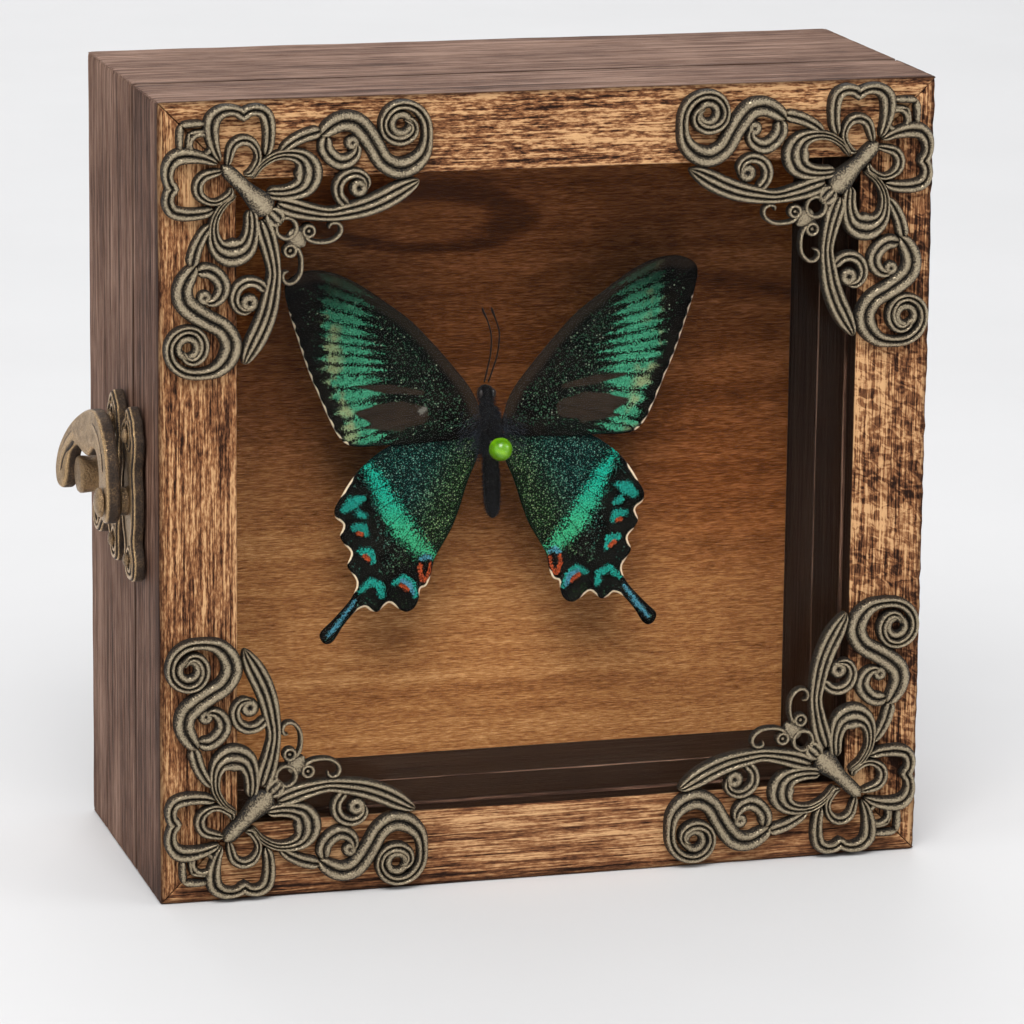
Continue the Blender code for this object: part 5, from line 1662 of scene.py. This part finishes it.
for height_low, height_high, count, short, long in (
    (77.4, 86.8, 4200, 0.8, 1.9), (87.0, 90.6, 900, 0.5, 1.1), (65.0, 77.4, 2600, 0.3, 0.7)
):
    for _ in range(count):
        height = chance.uniform(height_low, height_high)
        turn = chance.uniform(0, 2 * math.pi)
        facing = np.array([math.cos(turn), math.sin(turn), 0])
        root = np.array([body_lean(height), BODY_PLANE, height]) + facing * body_radius(height) * 0.93
        tip_way = facing + chance.normal(scale=0.35, size=3) + np.array([0, 0, -0.5])
        hair(root, tip_way, chance.uniform(short, long), 0.075, 0.35 * chance.random() ** 2)
for _ in range(1500):
    side = chance.choice((-1, 1))
    out = 2.2 + 4.4 * chance.random() ** 1.8
    height = chance.normal(80.6, 2.2)
    plane = FOREWING_PLANE if height > FOREWING_FOOT else HINDWING_PLANE
    bow = camber(np.array([[out, height]]))[0]
    root = np.array([BODY_X + side * out, plane - bow - WING_THICK / 2 + 0.02, height])
    tip_way = np.array([side * 1.0, -0.35, -0.25]) + chance.normal(scale=0.35, size=3)
    tip_way[1] = -abs(tip_way[1]) * 0.6 - 0.08
    hair(root, tip_way, chance.uniform(0.5, 1.3), 0.06, chance.uniform(0.2, 0.8))
fur_mesh = bpy.data.meshes.new("butterfly_fur")
fur_mesh.from_pydata((np.array(fur_points) * MM).tolist(), [], fur_faces)
grey_layer = fur_mesh.attributes.new("grey", "FLOAT", "POINT")
grey_layer.data.foreach_set("value", np.array(fur_greys, np.float32))
add_piece("butterfly_fur", fur_mesh, fur_finish, "case", "dark_fur")

# Antennae. Two thin horny feelers, ringed along their length and thicker at the tip. They
# grow from the head and stand out over the panel.
LEFT_ANTENNA = [
    (-5.6, 91.4), (-5.0, 94.0), (-4.4, 97.0), (-4.3, 100.4), (-5.0, 103.2), (-5.9, 105.2),
    (-6.1, 106.0),
]
RIGHT_ANTENNA = [
    (-4.8, 91.4), (-3.9, 94.0), (-3.0, 97.0), (-2.7, 100.8), (-3.4, 103.4), (-4.1, 105.2),
    (-4.3, 106.0),
]
antenna_finish, tree, output, place = new_finish("antenna_horn")
horn_grain = grain(tree, place, (1500, 1500, 5200), detail=2)
horn_tone = tones(tree, horn_grain, [(0.35, (0.0055, 0.0045, 0.004)), (0.68, (0.030, 0.020, 0.014))])
surface(tree, output, {
    "Base Color": horn_tone,
    "Roughness": between(tree, horn_grain, 0.3, 0.7, 0.30, 0.5),
    "Specular IOR Level": 0.12,
    "Normal": relief(tree, horn_grain, 0.03 * MM),
})
for node, line in (("left_antenna", LEFT_ANTENNA), ("right_antenna", RIGHT_ANTENNA)):
    path = smooth_path(line, 0.14)
    tangent = np.gradient(path, axis=0)
    tangent /= np.linalg.norm(tangent, axis=1)[:, None]
    plane = (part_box(node)[0].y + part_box(node)[1].y) / 2 / MM
    work = bmesh.new()
    rings = []
    for place_on, (spot, direction) in enumerate(zip(path, tangent)):
        share = place_on / (len(path) - 1)
        radius = 0.165 - 0.03 * share + 0.10 * math.exp(-(((share - 0.93) / 0.075) ** 2))
        radius *= 1 - 0.12 * (place_on % 3 == 0)
        if share > 0.985:
            radius *= 0.6
        ring = []
        for side in range(12):
            turn = 2 * math.pi * side / 12
            ring.append(work.verts.new((
                (spot[0] + direction[1] * radius * math.cos(turn)) * MM,
                (plane + radius * math.sin(turn)) * MM,
                (spot[1] - direction[0] * radius * math.cos(turn)) * MM,
            )))
        rings.append(ring)
    skin(work, rings)
    mesh = finished_mesh(work, node + "_ringed")
    add_piece(node + "_ringed", mesh, antenna_finish, "case", "antenna_chitin", node)

# Pin. A straight steel pin with a moulded lime-green plastic bead for its head. It goes
# through the thorax and stands in the panel.
pin_low, pin_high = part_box("specimen_pin")
PIN_AXIS = ((pin_low.x + pin_high.x) / 2, (pin_low.z + pin_high.z) / 2)
PIN_RADIUS = 0.35 * MM
BEAD_RADIUS = 2.3 * MM
pin_finish, tree, output, place = new_finish("drawn_pin_steel")
drawing = grain(tree, place, (6000, 160, 6000), detail=3)
surface(tree, output, {
    "Base Color": tones(tree, drawing, [(0.35, (0.33, 0.33, 0.34)), (0.65, (0.58, 0.58, 0.59))]),
    "Metallic": 1.0,
    "Roughness": between(tree, drawing, 0.3, 0.7, 0.22, 0.38),
    "Normal": relief(tree, drawing, 0.01 * MM),
})
work, worn = new_casting()
shaft = [(0.0, -pin_low.y), (PIN_RADIUS, -pin_low.y), (PIN_RADIUS, -pin_high.y + 1.6 * MM)]
shaft += [(PIN_RADIUS * 0.55, -pin_high.y + 0.5 * MM), (0.0, -pin_high.y)]
turned(work, worn, shaft, 24, PIN_AXIS)
mesh = laid(finished_mesh(work, "specimen_pin_drawn"), (1, 0, 0), (0, 0, 1), (0, -1, 0), (0, 0, 0))
add_piece("specimen_pin_drawn", mesh, pin_finish, "case", "pin_steel", "specimen_pin")

bead_finish, tree, output, place = new_finish("lime_bead_plastic")
swirl = grain(tree, place, (420, 420, 420), detail=3, distortion=0.8)
bead_tone = tones(tree, swirl, [
    (0.3, (0.065, 0.190, 0.002)), (0.55, (0.125, 0.31, 0.003)), (0.75, (0.20, 0.43, 0.007))
])
surface(tree, output, {
    "Base Color": bead_tone,
    "Roughness": between(tree, swirl, 0.3, 0.7, 0.16, 0.26),
    "Subsurface Weight": 0.25,
    "Subsurface Radius": (0.6, 1.0, 0.2),
    "Subsurface Scale": 0.0012,
    "Coat Weight": 0.35,
    "Coat Roughness": 0.12,
    "Normal": relief(tree, swirl, 0.02 * MM),
})
work, worn = new_casting()
bead_front = -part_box("pin_head")[0].y
bead_profile = []
for step in range(33):
    turn = math.pi * step / 32
    seam = 0.035 * MM * math.exp(-(((step - 16) / 0.8) ** 2))
    radius = max(0.0, (BEAD_RADIUS - 0.02 * MM + seam) * math.sin(turn))
    bead_profile.append((radius if 0 < step < 32 else 0.0, bead_front - BEAD_RADIUS * (1 - math.cos(turn))))
turned(work, worn, bead_profile, 56, PIN_AXIS)
mesh = laid(finished_mesh(work, "pin_head_moulded"), (1, 0, 0), (0, 0, 1), (0, -1, 0), (0, 0, 0))
add_piece("pin_head_moulded", mesh, bead_finish, "case", "lime_bead", "pin_head")
